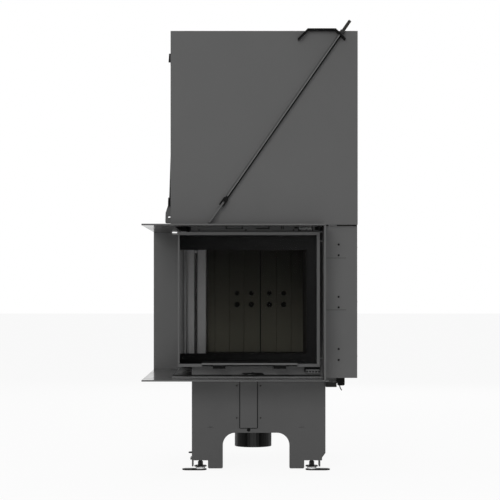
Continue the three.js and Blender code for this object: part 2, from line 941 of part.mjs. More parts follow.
const sideStart = baseFace + baseSheet + seat;
const sideEnd = baseRear - baseSheet - seat;
const sideShape = outline([
  [sideStart, notchTop - tongueDrop],
  [sideStart + tongueWidth, notchTop],
  [baseFace + notchWidth, notchTop],
  [baseFace + notchWidth, toeBottom, toeRadius],
  [baseFace + notchWidth + toeWidth, toeBottom, toeRadius],
  [baseFace + notchWidth + toeWidth, archTop, archRadius],
  [baseRear - notchWidth - toeWidth, archTop, archRadius],
  [baseRear - notchWidth - toeWidth, toeBottom, toeRadius],
  [baseRear - notchWidth, toeBottom, toeRadius],
  [baseRear - notchWidth, notchTop],
  [sideEnd, notchTop],
  [sideEnd, floorPlateBottom - seat],
  [sideStart, floorPlateBottom - seat],
]);

const footRows = [baseFace + footInset, baseRear - footInset];
const bracketBottom = notchTop + footBracketRise;

// A left side sheet with the two foot brackets welded to it; its outer face is at x = 0.
function baseSide() {
  const brackets = footRows.map((y) => {
    const back = y < casingDepth / 2 ? sideStart : sideEnd - footBracketSize;
    const plate = block(
      -footBracketOverhang,
      footBracketSize,
      back,
      back + footBracketSize,
      bracketBottom,
      bracketBottom + footBracketThickness,
    );
    const hole = alongZ(
      circle(footInset, y, footScrewDiameter / 2 + seat),
      bracketBottom - weld,
      footBracketThickness + 2 * weld,
    );
    return cut(plate, hole);
  });
  return joined(alongX(sideShape, 0, baseSheet), ...brackets);
}

piece('base_left_panel', baseSide().translate(baseFace, 0, 0), basePaint);
piece('base_right_panel', rightHanded(baseSide()).translate(baseRight, 0, 0), basePaint);

const rearShape = rectangle(baseFace, rearPanelBottom, baseRight, floorPlateBottom - seat);
piece('base_rear_panel', alongY(rearShape, baseRear - baseSheet, baseSheet), basePaint);

const coverLeft = baseMiddle + coverOffset - coverWidth / 2;
const coverShape = rectangle(coverLeft, coverBottom, coverLeft + coverWidth, collarUnderside - coverGap);
piece('air_slot_cover', alongY(coverShape, baseFace - seat - baseSheet, baseSheet), basePaint);

// ---------------------------------------------------------------------------------------------
// Feet: a long floor plate with a puck on it stays put, and the screw turns in its bracket
// ---------------------------------------------------------------------------------------------

function footPad() {
  const half = footPlateWidth / 2;
  const corner = half - seat;
  const plate = outline([
    [-footPlateReach - half, -half, corner],
    [half, -half, corner],
    [half, half, corner],
    [-footPlateReach - half, half, corner],
  ]);
  const puck = alongZ(circle(0, 0, puckDiameter / 2), footPlateThickness - weld, puckHeight + weld, 12);
  return joined(alongZ(plate, 0, footPlateThickness), puck);
}

function footScrew() {
  const disc = footPlateThickness + puckHeight + seat;
  const discTop = disc + footDiscThickness;
  const screwTop = discTop + footHexHeight + footScrewLength;
  const body = turned([
    [0, disc],
    [footDiscDiameter / 2 - footDiscChamfer, disc],
    [footDiscDiameter / 2, disc + footDiscChamfer],
    [footDiscDiameter / 2 - footDiscChamfer, discTop],
    [footScrewDiameter / 2, discTop],
    [footScrewDiameter / 2, screwTop - footScrewChamfer],
    [footScrewDiameter / 2 - footScrewChamfer, screwTop],
    [0, screwTop],
  ], 0, 0);
  const hexRadius = footHexAcross / Math.sqrt(3);
  const nut = alongZ(circle(0, 0, hexRadius), discTop - weld, footHexHeight + weld, 3);
  return joined(body, nut);
}

footRows.forEach((y, row) => {
  const end = ['front', 'rear'][row];
  const left = [baseFace + footInset, y, 0];
  const right = [baseRight - footInset, y, 0];
  piece(`foot_pad_${end}_left`, footPad().translate(...left), blackSteel);
  piece(`foot_pad_${end}_right`, rightHanded(footPad()).translate(...right), blackSteel);
  piece(`foot_screw_${end}_left`, footScrew().translate(...left), bareSteel);
  piece(`foot_screw_${end}_right`, footScrew().translate(...right), bareSteel);
});

// ---------------------------------------------------------------------------------------------
// Air supply
// ---------------------------------------------------------------------------------------------

const spigotRadius = spigotDiameter / 2;
const airBoxTop = floorPlateBottom - seat;
const airBoxBottom = airBoxTop - airBoxHeight;
const airBoxLeft = spigotAcross - airBoxWidth / 2;
const airBoxFront = spigotBack - airBoxDepth / 2;
const airBox = block(
  airBoxLeft,
  airBoxLeft + airBoxWidth,
  airBoxFront,
  airBoxFront + airBoxDepth,
  airBoxBottom,
  airBoxTop,
);
const airBoxInside = block(
  airBoxLeft + spigotSheet,
  airBoxLeft + airBoxWidth - spigotSheet,
  airBoxFront + spigotSheet,
  airBoxFront + airBoxDepth - spigotSheet,
  airBoxBottom + spigotSheet,
  airBoxTop + weld,
);
const spigotOuter = alongZ(
  circle(spigotAcross, spigotBack, spigotRadius),
  spigotBottom,
  airBoxBottom + weld - spigotBottom,
  20,
);
const spigotBore = alongZ(
  circle(spigotAcross, spigotBack, spigotRadius - spigotSheet),
  spigotBottom - weld,
  airBoxBottom + 2 * weld + spigotSheet - spigotBottom,
  20,
);
piece('air_box', cut(joined(airBox, spigotOuter), airBoxInside, spigotBore), blackSteel);

const leverBottom = sillTop + leverRise / 2;
const leverFront = baseFace - leverDepth - leverNose;
const leverHeel = baseFace - leverDepth + leverNose;
const leverPlan = outline([
  [leverCentre - leverWidth / 2, leverFront + leverTipDrop, leverTipRadius],
  [leverCentre, leverFront],
  [leverCentre + leverWidth / 2, leverFront + leverTipDrop, leverTipRadius],
  [leverCentre + leverWidth / 2 - leverTipWidth, leverHeel - leverTipDrop / 2, leverHeelRadius],
  [leverCentre + leverStem / 2, leverHeel],
  [leverCentre + leverStem / 2, baseFace + leverStem],
  [leverCentre - leverStem / 2, baseFace + leverStem],
  [leverCentre - leverStem / 2, leverHeel],
  [leverCentre - leverWidth / 2 + leverTipWidth, leverHeel - leverTipDrop / 2, leverHeelRadius],
]);
piece('air_lever', alongZ(leverPlan, leverBottom, leverThickness), blackSteel);

// ---------------------------------------------------------------------------------------------
// Firebox
// ---------------------------------------------------------------------------------------------

const floorShape = rectangle(baseFace, baseFace, baseRight, baseRear);
floorShape.holes.push(circle(spigotAcross, spigotBack, airInletDiameter / 2));
piece('firebox_floor', alongZ(floorShape, floorPlateBottom, fireboxPlate, 10), castIron);

const fireboxBottom = floorPlateTop + seat;
const wallPlan = foldedSheet([
  [baseFace + seat, fireboxRear],
  [fireboxRight, fireboxRear],
  [fireboxRight, baseFace + seat],
], fireboxWall);
piece('firebox_wall', alongZ(wallPlan, fireboxBottom, wallTop - fireboxBottom), castIron);

const pilasterPlan = rectangle(
  baseFace + seat,
  pilasterFront,
  pilasterRight,
  pilasterFront + pilasterDepth,
);
pilasterPlan.holes.push(rectangle(
  baseFace + seat + pilasterSheet,
  pilasterFront + pilasterSheet,
  pilasterRight - pilasterSheet,
  pilasterFront + pilasterDepth - pilasterSheet,
));
const pilasterTube = alongZ(pilasterPlan, fireboxBottom, wallTop - fireboxBottom);
const slotLeft = baseFace + seat + pilasterSlotInset;
const slotRight = slotLeft + pilasterSlotWidth;
const slotEnd = pilasterSlotWidth / 2 - seat;
const slotBottom = fireboxBottom + hearthThickness + pilasterSlotMargin;
const pilasterSlot = alongY(outline([
  [slotLeft, slotBottom, slotEnd],
  [slotRight, slotBottom, slotEnd],
  [slotRight, liningTop - pilasterSlotMargin, slotEnd],
  [slotLeft, liningTop - pilasterSlotMargin, slotEnd],
]), pilasterFront - weld, pilasterSheet + 2 * weld);
piece('corner_pilaster', cut(pilasterTube, pilasterSlot), basePaint);

// Points of a lining's face from one end to the other, with its shallow upright grooves.
function groovedFace(start, end, face) {
  const points = [[start, face]];
  for (let groove = start + grooveSpacing; groove < end - grooveWidth * 2; groove += grooveSpacing) {
    points.push([groove - grooveWidth / 2, face]);
    points.push([groove, face + grooveDepth]);
    points.push([groove + grooveWidth / 2, face]);
  }
  points.push([end, face]);
  return points;
}

// The side is -1 for the board left of the seam and 1 for the one right of it.
function rearLining(start, end, side) {
  const back = liningRear + liningThickness;
  const plan = outline([...groovedFace(start, end, liningRear), [end, back], [start, back]]);
  const board = alongZ(plan, fireboxBottom, liningTop - fireboxBottom);
  const rows = [[upperVentRise, upperVentDiameter], [lowerVentRise, lowerVentDiameter]];
  const vents = [0, 1].flatMap((column) => rows.map(([rise, diameter]) => {
    const x = seamPosition + side * (ventSeamGap + column * ventSpacing);
    return alongY(
      circle(x, fireboxBottom + rise, diameter / 2),
      liningRear - weld,
      liningThickness + 2 * weld,
    );
  }));
  return cut(board, ...vents);
}

piece('rear_lining_left', rearLining(pilasterRight + seat, seamPosition - seat / 2, -1), ceramic);
piece('rear_lining_right', rearLining(seamPosition + seat / 2, liningRight - seat, 1), ceramic);

const sideLiningPlan = outline([
  ...groovedFace(baseFace + hearthInset, liningRear + liningThickness, liningRight),
  [liningRear + liningThickness, liningRight + liningThickness],
  [baseFace + hearthInset, liningRight + liningThickness],
]);
piece(
  'right_lining',
  swapped(alongZ(sideLiningPlan, fireboxBottom, liningTop - fireboxBottom)),
  ceramic,
);

const hearthPlan = outline([
  [baseFace + hearthInset, baseFace + hearthInset],
  [liningRight - seat, baseFace + hearthInset],
  [liningRight - seat, liningRear - seat],
  [pilasterRight + seat, liningRear - seat],
  [pilasterRight + seat, pilasterFront - seat],
  [baseFace + hearthInset, pilasterFront - seat],
]);
piece('hearth_lining', alongZ(hearthPlan, fireboxBottom, hearthThickness), ceramic);

piece('smoke_baffle', block(
  pilasterRight + seat,
  liningRight + liningThickness,
  baseFace + baffleGap,
  liningRear + liningThickness,
  liningTop + seat,
  liningTop + seat + baffleThickness,
), baffleBoard);

// A rectangle drawn in to a circle, over a short upright skirt.
function hoodForm(inset, extra) {
  const points = [];
  for (const x of [baseFace + inset, fireboxRight - inset]) {
    for (const y of [baseFace + inset, fireboxRear - inset]) {
      points.push(new THREE.Vector3(x, y, hoodBottom - extra));
      points.push(new THREE.Vector3(x, y, hoodBottom + skirtHeight));
    }
  }
  for (let step = 0; step < flueSides; step += 2) {
    const angle = step * 2 * Math.PI / flueSides;
    const radius = flueDiameter / 2 + flueSheet - inset;
    const x = flueAcross + radius * Math.cos(angle);
    const y = flueBack + radius * Math.sin(angle);
    points.push(new THREE.Vector3(x, y, hoodTop + extra));
  }
  return new ConvexGeometry(points);
}
piece('smoke_hood', cut(hoodForm(0, 0), hoodForm(hoodSheet, weld)), castIron);

const flueRadius = flueDiameter / 2;
const flueBottom = hoodTop + seat;
piece('flue_collar', turned([
  [flueRadius - flueSheet, flueBottom],
  [flueRadius + flueFlange, flueBottom],
  [flueRadius + flueFlange, flueBottom + flueSheet],
  [flueRadius, flueBottom + flueSheet],
  [flueRadius, flueBottom + flueHeight],
  [flueRadius - flueSheet, flueBottom + flueHeight],
], flueAcross, flueBack, flueSides), castIron);

// ---------------------------------------------------------------------------------------------
// Door stop and the bracket under the right column
// ---------------------------------------------------------------------------------------------

const stopTop = doorBottom - seat;
const stopSection = foldedSheet([
  [baseFace - seat - stopReach, stopTop],
  [baseFace - seat, stopTop],
  [baseFace - seat, stopTop - stopHeight],
], stopPlate);
piece('door_stop', alongX(stopSection, openingWidth - stopInset - stopWidth, stopWidth), blackSteel);

const hangerTop = collarFloor;
const hangerBottom = hangerTop - hangerDrop;
const hangerStart = uprightRight + hangerInset;
const armEnd = hangerStart + hangerArm;
const hangerEnd = armEnd + hangerBlock;
const slitTop = hangerTop - hangerSlitHeight;
const hangerShape = outline([
  [hangerStart, hangerBottom],
  [armEnd, hangerBottom],
  [armEnd, slitTop],
  [armEnd + hangerSlit, slitTop],
  [armEnd + hangerSlit, hangerTop - hangerBlockHeight],
  [hangerEnd, hangerTop - hangerBlockHeight, hangerRadius],
  [hangerEnd, hangerTop],
  [hangerStart, hangerTop],
]);
const hangerStep = block(
  hangerStart - weld,
  armEnd,
  hangerFront - weld,
  hangerFront + hangerArmStep,
  hangerBottom + hangerArmHeight,
  hangerTop + weld,
);
const hanger = cut(alongY(hangerShape, hangerFront, hangerDepth), hangerStep);
piece('column_hanger', hanger, blackSteel);

// ---------------------------------------------------------------------------------------------
// Stand the model on the floor with its footprint centred on the origin
// ---------------------------------------------------------------------------------------------

insert.updateMatrixWorld(true);
const extent = new THREE.Box3().setFromObject(insert);
const middle = extent.getCenter(new THREE.Vector3());
insert.position.set(-middle.x, -middle.y, -extent.min.z);

export default insert;
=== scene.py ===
# Looks for a corner fireplace insert with a lift-up glazed door: finishes for every solid of the
# frame, and the fine pieces that the frame leaves out. Lengths are in metres, except values that
# are multiplied by MM or given to at(), which are in millimetres. +X is to the right of the front
# pane, +Y to the back and +Z up.
import json
import math

import bmesh
import bpy
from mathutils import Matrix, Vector
from mathutils.geometry import delaunay_2d_cdt


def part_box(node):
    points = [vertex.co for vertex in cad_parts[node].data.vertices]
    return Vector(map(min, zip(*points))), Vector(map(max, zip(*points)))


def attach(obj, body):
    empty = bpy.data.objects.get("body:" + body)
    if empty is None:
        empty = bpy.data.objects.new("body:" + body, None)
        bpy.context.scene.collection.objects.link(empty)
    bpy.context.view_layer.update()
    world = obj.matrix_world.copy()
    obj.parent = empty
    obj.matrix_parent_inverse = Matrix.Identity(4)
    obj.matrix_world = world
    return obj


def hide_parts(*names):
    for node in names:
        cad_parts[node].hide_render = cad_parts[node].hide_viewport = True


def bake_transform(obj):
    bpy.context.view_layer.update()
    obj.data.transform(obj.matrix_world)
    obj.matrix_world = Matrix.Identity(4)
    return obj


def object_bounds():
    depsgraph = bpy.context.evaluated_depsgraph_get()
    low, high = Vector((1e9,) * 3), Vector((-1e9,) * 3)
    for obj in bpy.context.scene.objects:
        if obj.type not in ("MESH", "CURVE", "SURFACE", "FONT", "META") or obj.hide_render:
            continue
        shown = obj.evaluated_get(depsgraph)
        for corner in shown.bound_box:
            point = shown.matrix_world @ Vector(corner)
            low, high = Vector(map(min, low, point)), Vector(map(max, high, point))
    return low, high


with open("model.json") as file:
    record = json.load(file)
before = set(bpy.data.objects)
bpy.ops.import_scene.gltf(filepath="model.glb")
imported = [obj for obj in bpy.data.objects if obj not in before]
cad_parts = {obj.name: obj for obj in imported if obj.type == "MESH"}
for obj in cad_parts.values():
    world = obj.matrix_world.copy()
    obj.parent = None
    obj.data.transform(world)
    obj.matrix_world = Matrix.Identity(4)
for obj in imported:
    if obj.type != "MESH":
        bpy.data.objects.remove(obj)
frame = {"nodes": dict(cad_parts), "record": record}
nodes = frame["nodes"]
cad_low, cad_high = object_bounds()

MM = 0.001
X, Y, Z = Vector((1, 0, 0)), Vector((0, 1, 0)), Vector((0, 0, 1))


# --- Camera and stage ---

IMAGE_SIDE = 500
SENSOR = 36
EYE_X = -0.0015
EYE_HEIGHT = 0.5932
EYE_DISTANCE = 5.008
LENS = 115.2
HORIZON_PIXEL = 286.7
WORLD_LIGHT = 0.2
FLOOR_REACH = 30
FLOOR_GREY = 0.88
FLOOR_GLOW = 0.93


def make_camera():
    data = bpy.data.cameras.new("camera")
    data.lens = LENS
    data.sensor_width = SENSOR
    data.shift_y = (HORIZON_PIXEL - IMAGE_SIDE / 2) / IMAGE_SIDE
    camera = bpy.data.objects.new("camera", data)
    bpy.context.scene.collection.objects.link(camera)
    camera.location = (EYE_X, cad_low.y - EYE_DISTANCE, EYE_HEIGHT)
    camera.rotation_euler = (math.pi / 2, 0, 0)
    bpy.context.scene.camera = camera


def seen_directly(tree):
    """1 for camera, glossy and transmission rays, 0 for the rays that carry light."""
    path = tree.nodes.new("ShaderNodeLightPath")
    total = path.outputs["Is Camera Ray"]
    for name in ("Is Glossy Ray", "Is Transmission Ray"):
        add = tree.nodes.new("ShaderNodeMath")
        add.operation = "MAXIMUM"
        tree.links.new(total, add.inputs[0])
        tree.links.new(path.outputs[name], add.inputs[1])
        total = add.outputs[0]
    return total


def make_world():
    world = bpy.data.worlds.new("studio")
    world.use_nodes = True
    tree = world.node_tree
    tree.nodes.clear()
    light = tree.nodes.new("ShaderNodeBackground")
    light.inputs["Color"].default_value = (1, 1, 1, 1)
    light.inputs["Strength"].default_value = WORLD_LIGHT
    backdrop = tree.nodes.new("ShaderNodeBackground")
    backdrop.inputs["Color"].default_value = (1, 1, 1, 1)
    mix = tree.nodes.new("ShaderNodeMixShader")
    out = tree.nodes.new("ShaderNodeOutputWorld")
    tree.links.new(seen_directly(tree), mix.inputs[0])
    tree.links.new(light.outputs[0], mix.inputs[1])
    tree.links.new(backdrop.outputs[0], mix.inputs[2])
    tree.links.new(mix.outputs[0], out.inputs[0])
    bpy.context.scene.world = world


def make_floor():
    mesh = bpy.data.meshes.new("floor")
    corners = ((-1, -1), (1, -1), (1, 1), (-1, 1))
    mesh.from_pydata([(x * FLOOR_REACH, y * FLOOR_REACH, 0) for x, y in corners], [], [(0, 1, 2, 3)])
    floor = bpy.data.objects.new("floor", mesh)
    bpy.context.scene.collection.objects.link(floor)
    material = bpy.data.materials.new("floor")
    material.use_nodes = True
    tree = material.node_tree
    tree.nodes.clear()
    matte = tree.nodes.new("ShaderNodeBsdfDiffuse")
    matte.inputs["Color"].default_value = (FLOOR_GREY, FLOOR_GREY, FLOOR_GREY, 1)
    glow = tree.nodes.new("ShaderNodeEmission")
    glow.inputs["Color"].default_value = (1, 1, 1, 1)
    share = tree.nodes.new("ShaderNodeMath")
    share.operation = "MULTIPLY"
    share.inputs[1].default_value = FLOOR_GLOW
    mix = tree.nodes.new("ShaderNodeMixShader")
    out = tree.nodes.new("ShaderNodeOutputMaterial")
    tree.links.new(seen_directly(tree), share.inputs[0])
    tree.links.new(share.outputs[0], mix.inputs[0])
    tree.links.new(matte.outputs[0], mix.inputs[1])
    tree.links.new(glow.outputs[0], mix.inputs[2])
    tree.links.new(mix.outputs[0], out.inputs[0])
    mesh.materials.append(material)


def area_light(name, place, target, size, power):
    data = bpy.data.lights.new(name, "AREA")
    data.shape = "SQUARE"
    data.size = size
    data.energy = power
    lamp = bpy.data.objects.new(name, data)
    lamp.location = place
    lamp.rotation_euler = (Vector(target) - Vector(place)).to_track_quat("-Z", "Y").to_euler()
    lamp.visible_camera = False
    lamp.visible_glossy = False
    bpy.context.scene.collection.objects.link(lamp)


def make_lights():
    area_light("key", (-1.3, -5.0, 2.3), (0, 0, 0.7), 1.8, 118)
    area_light("fill", (2.8, -2.6, 1.6), (0, 0, 0.7), 2.0, 10)
    area_light("low", (0.3, -4.4, 0.35), (0, 0, 0.45), 0.7, 30)
    area_light("top", (-0.4, 0.2, 3.6), (0, 0, 0.6), 2.4, 30)
    area_light("back", (0.6, 3.8, 2.2), (0, 0, 0.8), 2.4, 45)


# --- Finishes ---


class Finish:
    """A Principled material with the few node patterns that the finishes share."""

    def __init__(self, name, roughness, metallic=0.0, specular=0.5):
        self.material = bpy.data.materials.new(name)
        self.material.use_nodes = True
        self.tree = self.material.node_tree
        self.shader = self.tree.nodes["Principled BSDF"]
        self.shader.inputs["Roughness"].default_value = roughness
        self.shader.inputs["Metallic"].default_value = metallic
        self.shader.inputs["Specular IOR Level"].default_value = specular
        self.place = self.tree.nodes.new("ShaderNodeTexCoord").outputs["Object"]

    def link(self, output, target):
        self.tree.links.new(output, target)

    def node(self, kind, inputs, **settings):
        """A new node with its inputs given, each as a plain value or as the output that feeds it."""
        made = self.tree.nodes.new("ShaderNode" + kind)
        for name, value in settings.items():
            setattr(made, name, value)
        for key, value in inputs.items():
            if isinstance(value, bpy.types.NodeSocket):
                self.link(value, made.inputs[key])
            else:
                made.inputs[key].default_value = value
        return made

    def noise(self, scale, detail, place=None):
        inputs = {"Vector": place or self.place, "Scale": scale, "Detail": detail}
        return self.node("TexNoise", inputs).outputs["Fac"]

    def ranged(self, value, low, high, start=0.3, end=0.7):
        return self.node("MapRange", {
            "Value": value, "From Min": start, "From Max": end, "To Min": low, "To Max": high,
        }).outputs["Result"]

    def blended(self, factor, dark, light):
        """A mix of two colours, each a tuple or an output."""
        inputs = {0: factor}
        for index, colour in ((6, dark), (7, light)):
            inputs[index] = (*colour, 1) if isinstance(colour, tuple) else colour
        return self.node("Mix", inputs, data_type="RGBA").outputs[2]

    def along(self, direction, origin=(0, 0, 0), source=None):
        """How far a point lies along a direction from an origin, or how a normal leans that way."""
        inputs = {0: source or self.place, 1: origin}
        offset = self.node("VectorMath", inputs, operation="SUBTRACT").outputs[0]
        inputs = {0: offset, 1: direction}
        return self.node("VectorMath", inputs, operation="DOT_PRODUCT").outputs["Value"]

    def step(self, value, edge, soft=0.0002):
        return self.ranged(value, 0, 1, edge - soft, edge + soft)

    def band(self, value, low, high, soft=0.0002):
        """1 between two values and 0 outside them."""
        inputs = {0: self.step(value, low, soft), 1: self.step(value, high, soft)}
        return self.node("Math", inputs, operation="SUBTRACT").outputs[0]

    @property
    def normal(self):
        return self.place.node.outputs["Normal"]

    def colour(self, output):
        self.link(output, self.shader.inputs["Base Color"])

    def rough(self, output):
        self.link(output, self.shader.inputs["Roughness"])

    def bump(self, height, distance, strength):
        inputs = {"Height": height, "Distance": distance, "Strength": strength}
        normal = self.shader.inputs["Normal"]
        if normal.links:
            inputs["Normal"] = normal.links[0].from_socket
        self.link(self.node("Bump", inputs).outputs[0], normal)

    def tone(self, scale, detail, dark, light):
        self.colour(self.blended(self.noise(scale, detail), dark, light))

    def wear(self, scale, detail, low, high):
        self.rough(self.ranged(self.noise(scale, detail), low, high))

    def grain(self, scale, detail, depth, strength):
        self.bump(self.noise(scale, detail), depth, strength)


BOARD = (1.04, 1.0, 0.78)

# Where a finish changes on one solid: heights, and for the bracket's arm places along X.
BASE_FRONT_LIT_STEP = 0.3035
HANDLE_FACE = (0.3428, 0.3500)
HANGER_SHADE_STEP = 0.287
HANGER_ARM = (0.20, 0.2761)
PUCK_EDGE = 0.0112
# Distances from a tie rod's tip.
ROD_THREAD = 0.040
ROD_NUT = (0.040, 0.052)
ROD_FORK = (0.680, 0.717)


def tint(value, hue):
    return tuple(value * share for share in hue)


def grey(value, warmth=0.0):
    return (value * (1 + warmth), value, value * (1 - warmth))


def plain_finish(name, roughness, tone, wear, grains=(), metallic=0.0, specular=0.5):
    """One tone that drifts. tone and wear give a noise's scale and detail and the two values that it
    moves between, and each of the grains a layer of bumps: scale, detail, depth and strength."""
    finish = Finish(name, roughness, metallic, specular)
    finish.tone(*tone)
    finish.wear(*wear)
    for grain in grains:
        finish.grain(*grain)
    return finish.material


def powder_paint(name, level, roughness=0.34):
    """Baked matte paint: a fine orange-peel grain, and slow drifts of tone and gloss."""
    return plain_finish(
        name, roughness, (3.5, 4, grey(level * 0.93), grey(level * 1.07)),
        (11, 3, roughness - 0.05, roughness + 0.05),
        ((900, 2, 0.00025, 0.35), (160, 2, 0.0004, 0.12)),
    )


def plated_steel(name):
    """Zinc plated steel with drawn lines along the upright and dull spots."""
    finish = Finish(name, 0.36, metallic=0.9)
    cloud = finish.noise(55, 4)
    finish.colour(finish.blended(cloud, grey(0.23), grey(0.38)))
    finish.rough(finish.ranged(cloud, 0.3, 0.46))
    upright = finish.node("Mapping", {"Vector": finish.place, "Scale": (1500, 1500, 18)})
    finish.bump(finish.noise(1, 3, upright.outputs[0]), 0.0002, 0.25)
    return finish.material


def fireproof_ceramic(name, soot, top_shade):
    """Pressed board: matte brownish black with fine grains, and painted shade that darkens it high up.
    """
    finish = Finish(name, 0.9, specular=0.1)
    clouds = finish.noise(9, 5)
    grains = finish.noise(700, 3)
    low, high = (
        finish.blended(clouds, tint(0.045 * share, BOARD), tint(0.062 * share, BOARD))
        for share in (soot, soot * top_shade)
    )
    # Painted shade: the colour darkens from 0.42 m up to 0.75 m, towards the lintel.
    base = finish.blended(finish.ranged(finish.along(Z), 0, 1, 0.42, 0.75), low, high)
    finish.colour(finish.blended(finish.ranged(grains, 0, 0.16), base, tint(0.05 * soot, BOARD)))
    finish.rough(finish.ranged(clouds, 0.82, 0.96))
    finish.bump(grains, 0.0005, 0.6)
    finish.grain(60, 4, 0.0008, 0.25)
    return finish.material


def smoked_glass(name):
    """Clear ceramic glass: mostly seen through, with a faint grey body and a clean reflection."""
    finish = Finish(name, 0.0, specular=0.3)
    finish.tone(4, 2, grey(0.012), grey(0.016))
    finish.shader.inputs["Alpha"].default_value = 0.03
    return finish.material


def printed_black(name):
    """The fired-on black border of the panes, seen from the front through the glass."""
    finish = Finish(name, 0.35, specular=0.0)
    # Painted light: the border is lighter towards the right and towards the top.
    across = finish.ranged(finish.along(X), 0, 1, -0.21, 0.2)
    height = finish.ranged(finish.along(Z), 0, 1, 0.36, 0.75)
    low = finish.blended(across, grey(0.001), grey(0.0085))
    high = finish.blended(across, grey(0.0035), grey(0.011))
    finish.colour(finish.blended(height, low, high))
    finish.wear(300, 2, 0.28, 0.42)
    return finish.material


def satin_paint(name, left, right):
    """The collar's plates: the same paint, rubbed smoother, so that it mirrors at a low angle. Where
    right is darker than left, the colour goes darker towards the right as painted shade."""
    finish = Finish(name, 0.16)
    across = finish.ranged(finish.along(X), 0, 1, -0.3, 0.05)
    drift = finish.noise(3.5, 4)
    # clean is the tone at the left, and dull the painted shade tone at the right.
    clean, dull = (
        finish.blended(drift, grey(level * 0.94), grey(level * 1.06)) for level in (left, right)
    )
    finish.colour(finish.blended(across, clean, dull))
    finish.wear(11, 3, 0.12, 0.2)
    finish.grain(700, 2, 0.00008, 0.2)
    return finish.material


def base_front_paint(name):
    """The base's front sheet: the base's paint, and lighter, as painted light, where it stands between
    the collar's plate and the door."""
    finish = Finish(name, 0.4)
    # Painted light: lighter above this height.
    upper = finish.step(finish.along(Z), BASE_FRONT_LIT_STEP, 0.001)
    low = finish.blended(finish.noise(3.5, 4), grey(0.0465), grey(0.0535))
    finish.colour(finish.blended(upper, low, grey(0.085)))
    finish.wear(11, 3, 0.35, 0.45)
    finish.grain(900, 2, 0.00025, 0.35)
    return finish.material


def handle_paint(name):
    """The door's bar: grey paint on its face, black above and below it and on its clips: the clips'
    own black, and painted shade along the bar's upper and lower edges.
    """
    finish = Finish(name, 0.36, specular=0.05)
    # Painted shade: black outside the face's band of heights.
    face = finish.band(finish.along(Z), *HANDLE_FACE, 0.0003)
    finish.colour(finish.blended(face, grey(0.004), grey(0.115)))
    finish.wear(80, 3, 0.3, 0.44)
    finish.grain(900, 2, 0.0002, 0.3)
    return finish.material


def hanger_paint(name):
    """The column's bracket: grey along its arm, darker on the arm below a height as painted shade,
    black at the end that carries the hook.
    """
    finish = Finish(name, 0.4, specular=0.05)
    arm = finish.band(finish.along(X), *HANGER_ARM, 0.0004)
    # Painted shade: the arm is darker below this height.
    upper = finish.step(finish.along(Z), HANGER_SHADE_STEP, 0.0004)
    side = finish.blended(upper, grey(0.022), grey(0.1))
    finish.colour(finish.blended(arm, grey(0.004), side))
    finish.wear(80, 3, 0.34, 0.48)
    finish.grain(900, 2, 0.0002, 0.3)
    return finish.material


def side_frame_paint(name):
    """The side pane's frame: lighter, as painted light, on the stile that stands inside, behind the
    front pane.
    """
    finish = Finish(name, 0.34)
    # Painted light on the inner stile.
    inside = finish.step(finish.along(Y), 0.15, 0.02)
    finish.colour(finish.blended(inside, grey(0.072), grey(0.15)))
    finish.wear(11, 3, 0.29, 0.39)
    finish.grain(900, 2, 0.00025, 0.35)
    return finish.material


def rear_upright_paint(name):
    """The rear upright: the same paint, with painted shade: nearly black on the strip behind the side
    pane.
    """
    finish = Finish(name, 0.34)
    # Painted shade on the strip behind the side pane.
    darkened = finish.ranged(finish.along(X), 0, 1, -0.2525, -0.236)
    clean = finish.blended(finish.noise(3.5, 4), grey(0.067), grey(0.077))
    finish.colour(finish.blended(darkened, clean, grey(0.006)))
    finish.wear(11, 3, 0.29, 0.39)
    finish.grain(900, 2, 0.00025, 0.35)
    return finish.material


def foot_steel(name):
    """A levelling screw: blackened thread and disc on a pale plastic puck."""
    finish = Finish(name, 0.4, specular=0.15)
    puck = finish.step(finish.along(Z), PUCK_EDGE, 0.0003)
    finish.colour(finish.blended(puck, grey(0.78), grey(0.010)))
    finish.wear(70, 3, 0.34, 0.5)
    finish.grain(900, 2, 0.0002, 0.3)
    return finish.material


def duct_steel(name):
    """The air spigot: blackened sheet, with painted reflections: light bands in its colour set by how
    its normal leans along X.
    """
    finish = Finish(name, 0.36, specular=0.1)
    lean = finish.along(X, source=finish.normal)
    # Painted reflections: a light band down the middle and a brighter one at the left edge.
    middle = finish.band(lean, -0.22, 0.2, 0.16)
    edge = finish.ranged(lean, 1, 0, -0.97, -0.8)
    colour = finish.blended(middle, grey(0.006), grey(0.085))
    colour = finish.blended(edge, colour, grey(0.17))
    finish.colour(finish.blended(finish.ranged(finish.noise(60, 4), 0, 0.15), colour, grey(0.02)))
    finish.wear(60, 3, 0.3, 0.44)
    finish.grain(1200, 2, 0.0002, 0.3)
    return finish.material


def rod_steel(name, tip, axis, shade_side):
    """A tie rod: grey along its shaft and strap, with painted shade: black on the side that faces away
    from the light and a dark line along the other edge. Black at its fork and dull at its thread.
    Distances run from the tip down the rod."""
    finish = Finish(name, 0.4, specular=0.06)
    reach = finish.along(-axis, tip)
    lean = finish.along(shade_side, source=finish.normal)
    # Painted shade: a dark line where the normal leans away from the shaded side, and black where it
    # leans towards it.
    colour = finish.blended(finish.step(lean, -0.72, 0.08), grey(0.02), grey(0.12))
    colour = finish.blended(finish.step(lean, 0.12, 0.08), colour, grey(0.002))
    thread = finish.step(reach, ROD_THREAD)
    nut = finish.band(reach, *ROD_NUT)
    fork = finish.band(reach, *ROD_FORK)
    colour = finish.blended(thread, grey(0.03), colour)
    colour = finish.blended(nut, colour, grey(0.035))
    colour = finish.blended(fork, colour, grey(0.004))
    finish.colour(finish.blended(finish.ranged(finish.noise(120, 4), 0, 0.12), colour, grey(0.03)))
    finish.wear(70, 3, 0.32, 0.5)
    finish.grain(900, 2, 0.0002, 0.3)
    return finish.material


